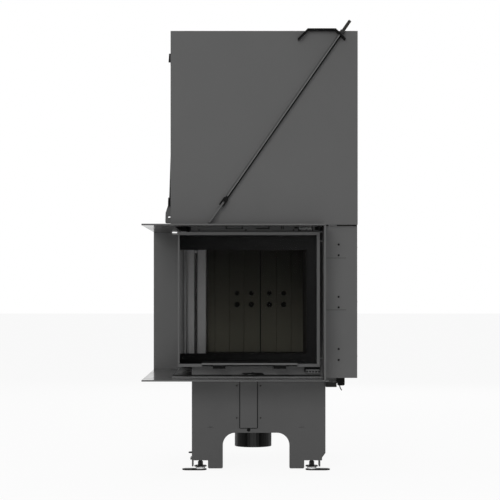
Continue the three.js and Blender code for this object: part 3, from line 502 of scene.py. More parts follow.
def braided_rope(name):
    """Glass-fibre seal: a grey braid of small diagonal tufts."""
    finish = Finish(name, 0.95, specular=0.15)
    braid = finish.node("TexVoronoi", {"Vector": finish.place, "Scale": 420})
    tufts = finish.ranged(braid.outputs["Distance"], 0, 1, 0.1, 0.7)
    finish.colour(finish.blended(tufts, grey(0.11), grey(0.03)))
    finish.rough(finish.ranged(tufts, 0.85, 1.0))
    finish.bump(tufts, -0.0006, 0.8)
    return finish.material


def stranded_cable(name):
    """Steel rope: bright strands with dark grooves winding round it."""
    finish = Finish(name, 0.34, metallic=0.95)
    inputs = {"Vector": finish.place, "Scale": 260}
    grooves = finish.node("TexWave", inputs, bands_direction="DIAGONAL").outputs["Fac"]
    finish.colour(finish.blended(grooves, grey(0.12), grey(0.5)))
    finish.rough(finish.ranged(grooves, 0.5, 0.3))
    finish.bump(grooves, 0.0003, 0.7)
    return finish.material


MATERIALS = {name: make(name, *values) for name, make, *values in (
    ("paint", powder_paint, 0.0685),
    ("base_paint", powder_paint, 0.050, 0.4),
    ("sill_paint", powder_paint, 0.1, 0.3),
    # The corner post: a lightened copy of the paint, as painted light.
    ("pilaster_paint", powder_paint, 0.158),
    ("stop_grey", powder_paint, 0.135, 0.4),
    ("collar_paint", satin_paint, 0.068, 0.068),
    # The lower plate: painted shade darkens it towards the right.
    ("lower_collar_paint", satin_paint, 0.088, 0.046),
    ("base_front_paint", base_front_paint),
    ("handle_paint", handle_paint),
    ("hanger_paint", hanger_paint),
    ("side_frame_paint", side_frame_paint),
    ("rear_upright_paint", rear_upright_paint),
    ("foot_steel", foot_steel),
    ("duct_steel", duct_steel),
    ("bare_steel", plated_steel),
    # The rear boards: painted shade darkens the ceramic high up.
    ("ceramic", fireproof_ceramic, 0.92, 0.05),
    # A darker copy of the ceramic: painted shade on the right lining, and the hearth's darker board.
    ("sooty_ceramic", fireproof_ceramic, 0.12, 0.5),
    ("glass", smoked_glass),
    ("print", printed_black),
    ("rope", braided_rope),
    ("strands", stranded_cable),
    # Satin black paint, and the heat-proof coating on welded plate.
    ("black_steel", plain_finish, 0.42, (40, 4, grey(0.0035), grey(0.006)), (60, 3, 0.34, 0.5),
     ((1200, 2, 0.0002, 0.3),), 0.0, 0.05),
    ("firebox_steel", plain_finish, 0.75, (18, 5, grey(0.016), grey(0.028)), (30, 4, 0.62, 0.85),
     ((420, 4, 0.0006, 0.5),)),
    # Sand-cast iron, pitted, with faint brown in the pits.
    ("weight_iron", plain_finish, 0.7, (260, 6, grey(0.028, 0.25), grey(0.055)),
     (90, 3, 0.6, 0.85), ((260, 6, 0.0012, 0.8),), 0.55),
    ("baffle_board", plain_finish, 0.95, (140, 5, (0.36, 0.29, 0.18), (0.5, 0.42, 0.29)),
     (140, 5, 0.85, 1.0), ((140, 5, 0.001, 0.6),), 0.0, 0.2),
    ("spring_wire", plain_finish, 0.35, (300, 3, grey(0.36), grey(0.5)), (200, 2, 0.28, 0.42),
     (), 0.0, 0.3),
    # Black for painted shade in the air holes, and for the dark joint between the boards.
    ("void_black", plain_finish, 0.95, (200, 3, grey(0.0022), grey(0.0036)), (90, 2, 0.9, 1.0),
     (), 0.0, 0.0),
    ("nylon", plain_finish, 0.5, (50, 3, grey(0.72), grey(0.82)), (90, 2, 0.42, 0.58),
     ((800, 2, 0.0002, 0.3),)),
)}


# --- The frame's own nodes ---

EDGE_ROUND = {
    "paint": 0.5,
    "base_paint": 0.5,
    "black_steel": 0.4,
    "bare_steel": 0.3,
    "firebox_steel": 0.6,
    "weight_iron": 1.2,
    "ceramic": 1.0,
    "baffle_board": 1.0,
    "glass": 0.4,
}


def soften_edges(node, width_mm):
    """Welds the facets' corners and rounds the sharp edges a little, so that they catch the light."""
    weld = node.modifiers.new("weld", "WELD")
    weld.merge_threshold = 0.00002
    bevel = node.modifiers.new("bevel", "BEVEL")
    bevel.width = width_mm * MM
    bevel.segments = 2
    bevel.limit_method = "ANGLE"
    bevel.angle_limit = math.radians(40)
    bevel.use_clamp_overlap = True
    bevel.harden_normals = True


# The nodes whose finish differs from the rest of their slot.
OWN_FINISH = {
    # Painted shade: the right lining in the darker copy of the ceramic.
    "right_lining": "sooty_ceramic",
    "sill_plate": "sill_paint",
    "collar_top_plate": "collar_paint",
    "collar_bottom_plate": "lower_collar_paint",
    "door_handle": "handle_paint",
    "door_side_frame": "side_frame_paint",
    "collar_rear_upright": "rear_upright_paint",
    "column_hanger": "hanger_paint",
    "air_box": "duct_steel",
    "rear_guide_rail": "black_steel",
    "base_front_panel": "base_front_paint",
    "foot_screw_front_left": "foot_steel",
    "foot_screw_front_right": "foot_steel",
    "foot_screw_rear_left": "foot_steel",
    "foot_screw_rear_right": "foot_steel",
}


def tip_and_direction(node):
    """The centre of a rod's upper end, and the direction in which the rod runs up to it."""
    points = [vertex.co for vertex in nodes[node].data.vertices]
    top = max(point.z for point in points)
    low = min(point.z for point in points)
    upper = [point for point in points if point.z > top - 0.012]
    centre = sum(upper, Vector()) / len(upper)
    lower = [point for point in points if point.z < low + 0.05 * (top - low)]
    foot = sum(lower, Vector()) / len(lower)
    return centre, (centre - foot).normalized()


def finish_node(name, material):
    nodes[name].data.materials.clear()
    nodes[name].data.materials.append(material)


def dress_nodes():
    for part in frame["record"]["subparts"]:
        name, slot = part["node"], part["material_slot"]
        finish_node(name, MATERIALS[OWN_FINISH.get(name, slot)])
        soften_edges(nodes[name], EDGE_ROUND[slot])
    # The side of each rod that gets painted shade.
    for name, shade_side in (("front_tie_rod", X), ("side_tie_rod", -Y)):
        tip, axis = tip_and_direction(name)
        across = (shade_side - axis * shade_side.dot(axis)).normalized()
        finish_node(name, rod_steel(name + "_steel", tip, axis, across))


# --- Forms ---


def new_piece(name, build, material):
    """A piece from a function that fills a bmesh, with its normals made to point outwards."""
    form = bmesh.new()
    build(form)
    bmesh.ops.recalc_face_normals(form, faces=form.faces)
    mesh = bpy.data.meshes.new(name)
    form.to_mesh(mesh)
    form.free()
    mesh.materials.append(MATERIALS[material])
    piece = bpy.data.objects.new(name, mesh)
    bpy.context.scene.collection.objects.link(piece)
    return piece


def add_piece(name, build, material="black_steel", body="root"):
    piece = new_piece(name, build, material)
    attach(piece, body)
    return piece


def loft(form, rings, hollow=False):
    """Joins rings of points with the same count into one skin. Its ends are closed, or where it is
    hollow, its last ring is joined to the first."""
    made = [[form.verts.new(point) for point in ring] for ring in rings]
    count = len(made[0])
    for low, high in zip(made, made[1:] + (made[:1] if hollow else [])):
        for i in range(count):
            j = (i + 1) % count
            form.faces.new((low[i], low[j], high[j], high[i]))
    if not hollow:
        form.faces.new(made[0][::-1])
        form.faces.new(made[-1])


def ring(centre, axis, radius, sides, start=None):
    """Points round an axis. The first lies towards start."""
    axis = axis.normalized()
    across = start or (X if abs(axis.x) < 0.9 else Y)
    across = (across - axis * across.dot(axis)).normalized()
    other = axis.cross(across)
    turns = [i * 2 * math.pi / sides for i in range(sides)]
    return [centre + radius * (across * math.cos(a) + other * math.sin(a)) for a in turns]


def arc(centre, across, other, radius, start, end, steps):
    """Points round a centre between two angles in degrees, counted from across towards other."""
    turns = [math.radians(start + (end - start) * i / steps) for i in range(steps + 1)]
    return [centre + radius * (across * math.cos(a) + other * math.sin(a)) for a in turns]


def lathe(form, base, axis, profile, sides=24, hollow=False):
    """A turned body. The profile is a list of (height along the axis, radius)."""
    axis = axis.normalized()
    loft(form, [ring(base + axis * height, axis, radius, sides) for height, radius in profile], hollow)


def tube(form, points, radius, sides=12):
    """A round tube along a smooth list of points."""
    rings = []
    across = None
    for index, point in enumerate(points):
        before = points[max(index - 1, 0)]
        after = points[min(index + 1, len(points) - 1)]
        along = (after - before).normalized()
        if across is None:
            across = along.orthogonal().normalized()
        across = (across - along * across.dot(along)).normalized()
        rings.append(ring(point, along, radius, sides, across))
    loft(form, rings)


def prism(form, outline, depth):
    """An outline of points pushed along the depth vector."""
    loft(form, [outline, [point + depth for point in outline]])


def plate(form, low, high, chamfer=0.0):
    """A flat bar with its upright edges chamfered."""
    corners = [(low.x, low.y), (high.x, low.y), (high.x, high.y), (low.x, high.y)]
    points = []
    for index, (x, y) in enumerate(corners):
        if not chamfer:
            points.append(Vector((x, y, low.z)))
            continue
        for other in (corners[index - 1], corners[(index + 1) % 4]):
            towards = Vector((other[0] - x, other[1] - y)).normalized() * chamfer
            points.append(Vector((x + towards.x, y + towards.y, low.z)))
    prism(form, points, Vector((0, 0, high.z - low.z)))


# --- Door: printed borders ---

PRINT_THICKNESS = 0.00015
PRINT_GAP = 0.00003
PRINT_SIDE = 0.032
FRONT_PRINT = (0.047, 0.033)
SIDE_PRINT = (0.035, 0.012)


def print_border(form, place, start, end, low, high, widths):
    """Three sides of a border behind a pane. place(across, depth, z) gives the point in space, and
    widths are those of the upper and the lower strip."""
    upper, lower = high - widths[0], low + widths[1]
    outline = [
        (start, low), (end, low), (end, high), (start, high),
        (start, upper), (end - PRINT_SIDE, upper), (end - PRINT_SIDE, lower), (start, lower),
    ]
    rings = [
        [form.verts.new(place(a, depth, z)) for a, z in outline] for depth in (0, PRINT_THICKNESS)
    ]
    for side in rings:
        for quad in ((0, 1, 6, 7), (1, 2, 5, 6), (2, 3, 4, 5)):
            form.faces.new([side[i] for i in quad])
    for i in range(len(outline)):
        j = (i + 1) % len(outline)
        form.faces.new((rings[0][i], rings[0][j], rings[1][j], rings[1][i]))


def make_prints():
    for side, across, inwards, trim, widths in (
        ("front", X, Y, 0.0045, FRONT_PRINT), ("side", Y, X, 0, SIDE_PRINT),
    ):
        low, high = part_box(f"{side}_glass")
        back = high.dot(inwards) + PRINT_GAP

        def place(a, depth, z):
            return across * a + inwards * (back + depth) + Z * z

        add_piece(f"{side}_print", lambda form: print_border(
            form, place, low.dot(across) + trim, high.dot(across), low.z, high.z, widths,
        ), "print", "door")


# --- Fasteners ---

# Places in the part's own drawing: millimetres from the casing's left face, its front face and
# the floor.
SIDE_SHEET_INSET = 2.3  # how far the side sheets start behind the front face
casing_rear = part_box("casing_rear_panel")
casing_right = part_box("casing_right_panel")
ORIGIN = Vector((casing_rear[0].x, casing_right[0].y - SIDE_SHEET_INSET * MM, 0))


def at(x, y, z):
    return ORIGIN + Vector((x, y, z)) * MM


def hex_socket_screw(form, seat, out, head=4.4, height=2.4):
    """A button head with a hexagonal socket, seated on a face that looks along out."""
    head, height = head * MM, height * MM
    sides = 18
    socket = head * 0.42
    profile = [
        (-0.0004, head * 0.96), (height * 0.25, head), (height * 0.62, head * 0.86),
        (height * 0.9, head * 0.62), (height, head * 0.5), (height, socket),
        (height * 0.35, socket * 0.96), (height * 0.35, 0.0001),
    ]
    lathe(form, seat, out, profile, sides)


def hex_bolt(form, seat, out, across, height, washer):
    """A hexagon head on a round washer."""
    rim, corner = washer * MM, across / math.sqrt(3) * MM
    low, high = 0.0013, height * MM
    lathe(form, seat, out, [(-0.0003, rim), (0.0012, rim), (0.0014, rim * 0.93)])
    lathe(form, seat, out, [(low, corner), (high - 0.0008, corner), (high, corner * 0.86)], 6)


def countersunk_rivet(form, seat, out, head=3.4):
    """A low domed blind rivet with its drawn-in mandrel hole."""
    head = head * MM
    profile = [
        (-0.0003, head), (0.0004, head), (0.0010, head * 0.72), (0.0013, head * 0.42),
        (0.0009, head * 0.3), (0.0006, 0.0001),
    ]
    lathe(form, seat, out, profile, 18)


def fasteners(name, shape, seats, out, material="black_steel", slot="black_steel", **sizes):
    def build(form):
        for seat in seats:
            shape(form, seat, out, **sizes)

    add_piece(name, build, material)


COVER_SCREW_X = 536.5
COVER_SCREW_ROWS = (728, 694, 561, 527, 394, 359)
BASE_SCREW_X = (210.4, 286.9)
BASE_SCREW_ROWS = (274, 170)
COVER_BOLT = (248.8, 131.3)
SIDE_SCREW_ROWS = (720, 545, 370)
RIVET_MARGIN = 0.03
RIVET_ROWS = (0.08, 0.5, 0.92)


def make_fasteners():
    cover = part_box("column_front_cover")[0].y
    seats = [Vector((at(COVER_SCREW_X, 0, 0).x, cover, z * MM)) for z in COVER_SCREW_ROWS]
    fasteners("column_screws", hex_socket_screw, seats, -Y, head=3.4)

    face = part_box("base_front_panel")[0].y
    seats = [Vector((at(x, 0, 0).x, face, z * MM)) for x in BASE_SCREW_X for z in BASE_SCREW_ROWS]
    fasteners("air_cover_screws", hex_socket_screw, seats, -Y, "weight_iron", head=2.6)
    bolt = [Vector((at(COVER_BOLT[0], 0, 0).x, face, COVER_BOLT[1] * MM))]
    fasteners("air_cover_bolt", hex_bolt, bolt, -Y, across=8, height=4.4, washer=5.6)

    for side, (low, high), out, across in (
        ("rear", casing_rear, Y, X), ("right", casing_right, X, Y),
    ):
        seats = [
            out * high.dot(out) + across * a + Z * (low.z + (high.z - low.z) * row)
            for a in (low.dot(across) + RIVET_MARGIN, high.dot(across) - RIVET_MARGIN)
            for row in RIVET_ROWS
        ]
        fasteners(f"casing_{side}_rivets", countersunk_rivet, seats, out, "paint", "paint")
    low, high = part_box("column_side_panel")
    seats = [Vector((high.x, low.y + 0.03, z * MM)) for z in SIDE_SCREW_ROWS]
    fasteners("column_side_screws", hex_socket_screw, seats, X)
    low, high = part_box("base_rear_panel")
    seats = [
        Vector((x, high.y, z)) for x in (low.x + 0.03, (low.x + high.x) / 2, high.x - 0.03)
        for z in (low.z + 0.02, high.z - 0.02)
    ]
    fasteners("base_rear_screws", hex_socket_screw, seats, Y)


# --- Fireproof boards: sheets with holes ---


def holed_sheet(form, low, high, front, back, holes, grooves, groove_width, groove_depth):
    """A board that faces -Y between two corners (x, z), with round holes through it and shallow
    upright grooves of V shape in its front."""
    sides = 40
    flat = []
    edges = []

    def loop(points):
        start = len(flat)
        flat.extend(Vector(point) for point in points)
        edges.extend((start + i, start + (i + 1) % len(points)) for i in range(len(points)))
        return list(range(start, start + len(points)))

    faces = [loop([(low[0], low[1]), (high[0], low[1]), (high[0], high[1]), (low[0], high[1])])]
    for x, z, radius in holes:
        turn = [2 * math.pi * i / sides for i in range(sides)]
        faces.append(loop([(x + radius * math.cos(a), z + radius * math.sin(a)) for a in turn]))
    for groove in grooves:
        for x in (groove - groove_width / 2, groove, groove + groove_width / 2):
            start = len(flat)
            flat.extend((Vector((x, low[1])), Vector((x, high[1]))))
            edges.append((start, start + 1))
    points, lines, cells, *_ = delaunay_2d_cdt(flat, edges, [], 1, 1e-6)
    kept = []
    for cell in cells:
        middle = sum((points[i] for i in cell), Vector((0, 0))) / len(cell)
        if all((middle - Vector((x, z))).length > radius * 0.99 for x, z, radius in holes):
            kept.append(cell)
    deep = {i for i, point in enumerate(points) if any(abs(point.x - g) < 1e-5 for g in grooves)}
    near = [
        form.verts.new((p.x, front + (groove_depth if i in deep else 0), p.y))
        for i, p in enumerate(points)
    ]
    far = [form.verts.new((p.x, back, p.y)) for p in points]
    count = {}
    for cell in kept:
        form.faces.new([near[i] for i in cell])
        form.faces.new([far[i] for i in reversed(cell)])
        for a, b in zip(cell, cell[1:] + cell[:1]):
            count.setdefault(frozenset((a, b)), []).append((a, b))
    for uses in count.values():
        if len(uses) == 1:
            a, b = uses[0]
            form.faces.new((near[a], near[b], far[b], far[a]))
    bmesh.ops.delete(form, geom=[v for v in form.verts if not v.link_faces], context="VERTS")


GROOVE_FROM_SEAM = (58.5, 110, 161)
GROOVE_WIDTH = 3.6
GROOVE_DEPTH = 2.6
VENT_OFFSETS = (32, 83)
VENT_ROWS = ((570.0, 8.3), (529.7, 9.9))
SEAM_HALF = 0.0019


def make_rear_boards():
    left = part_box("rear_lining_left")
    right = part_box("rear_lining_right")
    seam = (left[1].x + right[0].x) / 2
    for name, (low, high), side in (("left", left, -1), ("right", right, 1)):
        depth = high.y - low.y
        holes = [
            (seam + side * offset * MM, z * MM, radius * MM)
            for offset in VENT_OFFSETS for z, radius in VENT_ROWS
        ]
        grooves = [
            seam + side * offset * MM for offset in GROOVE_FROM_SEAM
            if low.x + 0.006 < seam + side * offset * MM < high.x - 0.006
        ]
        piece = add_piece(f"rear_board_{name}", lambda form: holed_sheet(
            form, (low.x, low.z), (high.x, high.z), low.y, high.y, holes, grooves,
            GROOVE_WIDTH * MM, GROOVE_DEPTH * MM,
        ), "ceramic")
        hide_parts(f"rear_lining_{name}")

        def hole_shade_plugs(form):
            """A dark plug in each air hole: painted shade for the hole's depth."""
            for x, z, radius in holes:
                wall = radius - 0.0001
                lathe(form, Vector((x, low.y + 0.0003, z)), Y, [
                    (0, wall), (0.006, wall), (depth - 0.0015, wall),
                    (depth - 0.0005, wall - 0.0004), (0.0262, 0.0002),
                ], 32)

        add_piece(f"air_hole_shade_plugs_{name}", hole_shade_plugs, "void_black")

    low, high = left
    add_piece("board_seam", lambda form: plate(
        form, Vector((seam - SEAM_HALF, low.y - 0.0002, low.z + 0.0005)),
        Vector((seam + SEAM_HALF, low.y + 0.004, high.z - 0.0005)),
    ), "void_black")


HEARTH_TOP = 362
HEARTH_REBATE_TOP = 354
HEARTH_REBATE_END = 98.6
POST_FRONT = 562.6


def make_hearth():
    """The hearth board, rebated along its left edge under the side pane and round the post."""
    low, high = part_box("hearth_lining")
    step = at(HEARTH_REBATE_END, POST_FRONT, HEARTH_REBATE_TOP)

    def build(form):
        plate(form, Vector((step.x, low.y, low.z)), Vector((high.x, high.y, HEARTH_TOP * MM)))
        plate(form, low, step)

    piece = add_piece("hearth_board", build, "sooty_ceramic")
    soften_edges(piece, 1.2)
    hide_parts("hearth_lining")


def make_pilaster():
    """The bent post in the rear left corner, with rounded corners."""
    low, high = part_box("corner_pilaster")
    bend, edge = 0.004, 0.0005

    def build(form):
        outline = []
        for x, y, size, start in (
            (low.x + bend, low.y + bend, bend, 180), (high.x - bend, low.y + bend, bend, 270),
            (high.x - edge, high.y - edge, edge, 0), (low.x + edge, high.y - edge, edge, 90),
        ):
            outline += arc(Vector((x, y, low.z)), X, Y, size, start, start + 90, 6)
        prism(form, outline, Z * (high.z - low.z))

    # The post in the lightened copy of the paint: painted light.
    piece = add_piece("corner_post", build, "pilaster_paint")
    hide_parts("corner_pilaster")


# --- Thin bars: dark strips of painted shade in gaps and along edges, dark marks, and small blocks ---


def strips(name, boxes, material="black_steel", body="root"):
    """Flat bars between corners given in the part's own drawing."""
    def build(form):
        for low, high in boxes:
            plate(form, at(*low), at(*high))

    add_piece(name, build, material, body)


def make_lines():
    cover = 62.1
    # Dark strips of painted shade along the air cover's edges.
    strips("air_cover_shade_edges", [
        ((218.9, cover - 0.35, 137), (221.3, cover, 291.8)),
        ((275.7, cover - 0.35, 137), (278.1, cover, 291.8)),
        ((221.3, cover - 0.35, 136.1), (275.7, cover, 137.9)),
    ])
    # A dark strip of painted shade where the sill meets the base's front.
    strips("sill_shade_line", [((2.8, 62.9, 306.3), (479.5, 65.3, 309.2))])
    # Dark strips of painted shade above and below the door's bar.
    strips("handle_shade_strips", [
        ((99.5, 9.5, 350.7), (403.5, 21.5, 355.4)),
        ((99.5, 6.5, 339.4), (403.5, 21.5, 342.3)),
    ], body="door")
    # Dark strips of painted shade in the corners where the rear upright meets the collar's plates.
    strips("upright_corner_shade", [
        ((-86.8, 554.5, 784.2), (-22.2, 555, 785.4)),
        ((-86.8, 554.5, 301.1), (-0.2, 555, 302.4)),
    ])
    strips("lintel_marks", [
        ((x0, 59.2, z0), (x1, 62.6, z1)) for x0, x1, z0, z1 in (
            (58.8, 64, 773, 786), (174.5, 178.5, 779, 786), (178.5, 226, 778.8, 780.6),
            (226, 229.8, 779, 786), (272, 311, 779.6, 782.4), (311.5, 315.5, 779, 786),
            (353, 356, 779, 786), (359, 361.5, 779, 786), (396, 406, 781, 786),
            (462, 473.5, 776, 786),
        )
    ] + [
        ((408, 62.3, 773), (455, 62.6, 786)),
        # A black block of painted shade in the gap at the channel's right end.
        ((479.5, 57.5, 774), (489, 64.5, 785.2)),
    ])
    strips("foot_slot_backs", [
        ((111, 68.7, 131), (142, 70.2, 148)),
        ((405, 68.7, 131), (437, 70.2, 148)),
    ], "base_paint")
    strips("stop_block", [((432, 56.5, 314.8), (477, 65.1, 327.6))], "stop_grey")
    # Dark strips of painted shadow along the stop block's left edge and under its left end.
    strips("stop_shade_edge", [
        ((428.6, 56.2, 317.5), (431.8, 65.1, 330)),
        ((432, 56.2, 314.0), (436, 65.1, 314.7)),
    ])
    strips("notch_packing", [
        ((-21.8, 555.2, 778.6), (-0.2, 559.8, 782.2)),
        ((-4.2, 555.2, 782.2), (-0.2, 559.8, 785.4)),
    ], "paint")


# --- Joint lines of the column cover ---

COVER_SEAMS = (685, 519)
COVER_SEAM_SHARE = 0.66


def make_cover_seams():
    low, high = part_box("column_front_cover")
    proud, half, edge = 0.00022, 0.0005, 0.0007

    def build(form):
        end = low.x + COVER_SEAM_SHARE * (high.x - low.x)
        for seam in COVER_SEAMS:
            z = seam * MM
            start = Vector((low.x + edge, low.y - proud, z - half))
            plate(form, start, Vector((end, low.y, z + half)))

    add_piece("column_cover_seams", build)


# --- Tie rods: the threads of their upper ends ---

ROD_RADIUS = 5.0
THREAD_PITCH = 1.75
THREAD_LENGTH = 36


def make_rod_threads():
    root, crest = (ROD_RADIUS - 0.15) * MM, (ROD_RADIUS + 0.45) * MM
    profile = []
    for turn in range(int(THREAD_LENGTH / THREAD_PITCH)):
        height = (turn * THREAD_PITCH - THREAD_LENGTH) * MM
        profile += [(height, root), (height + THREAD_PITCH * 0.5 * MM, crest)]
    profile.append((-0.0004, root))
    for side in ("front", "side"):
        tip, along = tip_and_direction(f"{side}_tie_rod")
        add_piece(f"{side}_rod_thread", lambda form: lathe(
            form, tip - along * 0.0016, along, profile, 20), "weight_iron")


# --- Feet: a pale slip ring round each puck ---

PUCK_RADIUS = 13.5
PLATE_TOP = 3.6
PUCK_TOP = 10.4


def make_slip_rings():
    outer, inner = (PUCK_RADIUS + 1.6) * MM, (PUCK_RADIUS + 0.1) * MM
    bottom, top, edge = (PLATE_TOP + 0.05) * MM, PUCK_TOP * MM, 0.0004
    profile = [
        (bottom, inner), (bottom, outer - edge), (bottom + edge, outer),
        (top - edge, outer), (top, outer - edge), (top, inner),
    ]
    for foot in ("front_left", "front_right", "rear_left", "rear_right"):
        low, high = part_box(f"foot_screw_{foot}")
        centre = Vector(((low.x + high.x) / 2, (low.y + high.y) / 2, 0))
        add_piece(f"slip_ring_{foot}", lambda form: lathe(
            form, centre, Z, profile, 28, hollow=True), "nylon")


# --- Running gear: cables ---

CABLE_RADIUS = 1.9
CLAMP_PROFILE = [
    (0, 0.0024), (0.0005, 0.0036), (0.004, 0.0036), (0.005, 0.003),
    (0.009, 0.003), (0.010, 0.0036), (0.0135, 0.0036), (0.014, 0.0024),
]


def cable_line(node):
    low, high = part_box(node)
    x, y = (low.x + high.x) / 2, (low.y + high.y) / 2
    return Vector((x, y, low.z)), Vector((x, y, high.z))


def make_cables():
    steps = 40
    for gear in ("right", "rear"):
        weight = f"{gear}_weight"
        ends = []
        for node, body in ((f"{gear}_door_cable", "door"), (f"{gear}_weight_cable", weight)):
            low, top = cable_line(node)
            points = [low + (top - low) * (i / steps) for i in range(steps + 1)]
            piece = new_piece(
                f"{node}_rope", lambda form: tube(form, points, CABLE_RADIUS * MM), "strands")
            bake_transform(piece)
            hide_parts(node)
            ends.append((low, top))
        (door_low, door_top), (weight_low, weight_top) = ends
        reach = (weight_top - door_top) / 2
        bend = arc((door_top + weight_top) / 2, -reach.normalized(), Z, reach.length, 0, 180, 24)
        add_piece(f"{gear}_pulley_rope", lambda form: tube(form, bend, CABLE_RADIUS * MM),
                  "strands")
        for name, end, body in (
            (f"{gear}_door_clamp", door_low + Z * 0.016, "door"),
            (f"{gear}_weight_clamp", weight_low + Z * 0.004, weight),
        ):
            add_piece(name, lambda form: lathe(form, end, Z, CLAMP_PROFILE, 16),
                      "bare_steel", body)


# --- Lintel channel: plates, pins, the oval spring and its hooks ---


def make_lintel_parts():
    front, web, top = 59.0, 62.6, 786

    def plates(form):
        for x0, x1, z0 in ((179, 225.5, 778.6), (230.2, 271.8, 779.4)):
            plate(form, at(x0, front + 0.6, z0), at(x1, front + 2.4, top), 0.0004)
        for x0, x1, z0 in ((316, 320, 777), (66, 84, 773), (368, 372, 779)):
            plate(form, at(x0, front, z0), at(x1, web, top), 0.0004)

    add_piece("lintel_plates", plates, "base_paint")

    seats = [at(x, web, 775.9) for x in (88.7, 240, 393.5)]
    fasteners("lintel_pins", hex_socket_screw, seats, -Y, head=2.6, height=1.2)

    def spring(form):
        turns, steps = 9, 16
        start, end = 411, 452
        points = []
        for i in range(turns * steps + 1):
            angle = 2 * math.pi * i / steps
            x = start + (end - start) * i / (turns * steps)
            points.append(at(x, 60.5 + 1.0 * math.cos(angle), 779.6 + 5.0 * math.sin(angle)))
        tube(form, points, 0.0007, 6)

    add_piece("lintel_spring", spring, "spring_wire")

    def hooks(form):
        for a, b in (((404, 785), (414, 775)), ((414, 775), (424, 779)), ((430, 775), (438, 779))):
            start, end = at(a[0], 60.5, a[1]), at(b[0], 60.5, b[1])
            tube(form, [start, (start + end) / 2, end], 0.0013, 8)

    add_piece("lintel_hooks", hooks)


# --- Door stop: a black strip of painted shadow on its left side, and the row of pins on it ---


def make_stop_parts():
    low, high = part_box("door_stop")

    def shade_and_pins(form):
        # Painted shadow: a thin black sheet against the stop's left side.
        plate(form, Vector((low.x - 0.0016, low.y + 0.001, low.z)),
              Vector((low.x, high.y - 0.001, high.z)))
        count = 5
        for i in range(count):
            x = low.x + (high.x - low.x) * (i + 0.7) / count
            lathe(form, Vector((x, low.y + 0.006, low.z - 0.0002)), -Z,
                  [(-0.0002, 0.0028), (0.003, 0.0028), (0.0036, 0.002)], 12)

    add_piece("door_stop_shade_and_pins", shade_and_pins)


# --- Air lever: a thin arched blade on a stem ---


def make_air_lever():
    low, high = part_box("air_lever")
    middle = (low.x + high.x) / 2
    half = (high.x - low.x) / 2
    thickness = 0.0024
    base = low.z - 0.0028

    def arch(x):
        share = (x - middle) / half
        return base + 0.0062 * math.exp(-((share + 0.12) / 0.42) ** 2) + 0.0022 * max(share, 0)

    def build(form):
        steps = 36
        rings = []
        for i in range(steps + 1):
            x = low.x + 0.0006 + (high.x - low.x - 0.0012) * i / steps
            share = abs(x - middle) / half
            depth = 0.010 * (1 - 0.55 * share ** 2)
            front, z = low.y + 0.001, arch(x)
            rings.append([
                Vector((x, front, z)), Vector((x, front + depth, z)),
                Vector((x, front + depth, z + thickness)), Vector((x, front, z + thickness)),
            ])
        loft(form, rings)
        stem = arch(middle)
        plate(form, Vector((middle - 0.006, low.y + 0.009, stem)),
              Vector((middle + 0.006, high.y, stem + thickness)), 0.0008)
        knob = Vector((high.x - 0.004, low.y + 0.0045, arch(high.x - 0.004) - 0.0006))
        lathe(form, knob, Z, [(0, 0.002), (0.0006, 0.003), (0.0034, 0.003), (0.004, 0.002)], 16)

    piece = add_piece("air_lever_blade", build, body="air_lever")
    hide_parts("air_lever")


# --- Hook wire under the bracket of the right column ---


def make_hanger_hook():
    low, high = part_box("column_hanger")
    front = low.y + 0.014
    start = high.x - 0.0155

    def build(form):
        points = []
        for share in (i / 14 for i in range(15)):
            z = low.z + 0.0075 - 0.0185 * share
            points.append(Vector((start + 0.0068 * share ** 2.2, front, z)))
        tube(form, points, 0.0017, 10)

    add_piece("hanger_hook", build)


# --- Seals: tapes behind the door's frames, and the rope beside the corner post ---

SEAL_WIDTH = 8.0
SEAL_THICKNESS = 1.5
FRAME_BACK = 56.7
SEAL_MARGIN = 0.005
SEAL_CORNER = 0.006
POST_ROPE_X = 62.2
POST_ROPE_RADIUS = 3.1
POST_ROPE_FOOT = 345
POST_ROPE_TOP = 713


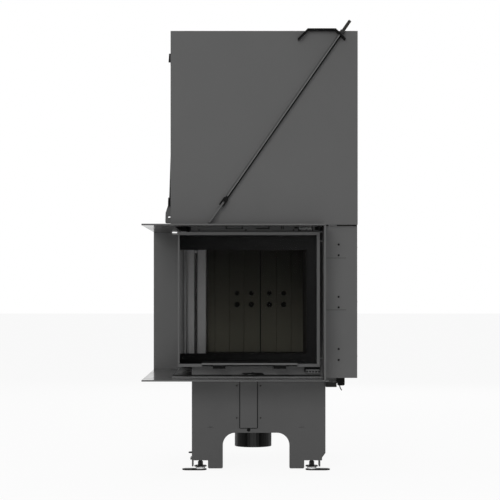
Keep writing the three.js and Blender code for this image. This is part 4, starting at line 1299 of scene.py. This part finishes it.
def tape(form, points, half, depth):
    """A flat strip along a list of points that lie in one plane. Its thickness is the depth vector."""
    rings = []
    for index, point in enumerate(points):
        before = points[max(index - 1, 0)]
        after = points[min(index + 1, len(points) - 1)]
        across = (after - before).cross(depth).normalized() * half
        near, far = point - across, point + across
        rings.append([near, far, far + depth, near + depth])
    loft(form, rings)


def make_door_seals():
    corner = SEAL_CORNER
    for side, across, depth in (("front", X, Y), ("side", Y, X)):
        low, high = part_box(f"{side}_glass")
        start, end = low.dot(across) + 0.04, high.dot(across) + SEAL_MARGIN
        bottom, top = low.z - SEAL_MARGIN, high.z + SEAL_MARGIN
        back = depth * (ORIGIN.dot(depth) + FRAME_BACK * MM - 0.00005)

        def place(a, z):
            return back + across * a + Z * z

        path = [place(start, bottom), place(end - corner, bottom)]
        path += arc(place(end - corner, bottom + corner), across, Z, corner, -75, -15, 4)
        path.append(place(end, (bottom + top) / 2))
        path += arc(place(end - corner, top - corner), across, Z, corner, 15, 75, 4)
        path += [place(end - corner, top), place(start, top)]
        add_piece(f"{side}_seal", lambda form: tape(
            form, path, SEAL_WIDTH / 2 * MM, depth * SEAL_THICKNESS * MM), "rope", "door")

    # The rope that the side pane's end shuts against, beside the corner post.
    rise = POST_ROPE_TOP - POST_ROPE_FOOT
    line = [at(POST_ROPE_X, 559, POST_ROPE_FOOT + rise * i / 20) for i in range(21)]
    add_piece("post_rope", lambda form: tube(form, line, POST_ROPE_RADIUS * MM), "rope")
    eye = arc(at(POST_ROPE_X, 557.5, POST_ROPE_TOP + 3.2), -Z, X, 0.0034, 0, 360, 24)
    add_piece("post_rope_eye", lambda form: tube(form, eye, 0.0013, 8),
              "spring_wire")


# --- Build ---

make_camera()
make_world()
make_floor()
make_lights()
dress_nodes()
make_prints()
make_rear_boards()
make_hearth()
make_pilaster()
make_lines()
make_fasteners()
make_cover_seams()
make_rod_threads()
make_slip_rings()
make_cables()
make_lintel_parts()
make_stop_parts()
make_air_lever()
make_hanger_hook()
make_door_seals()

bpy.context.scene.view_settings.view_transform = "Standard"
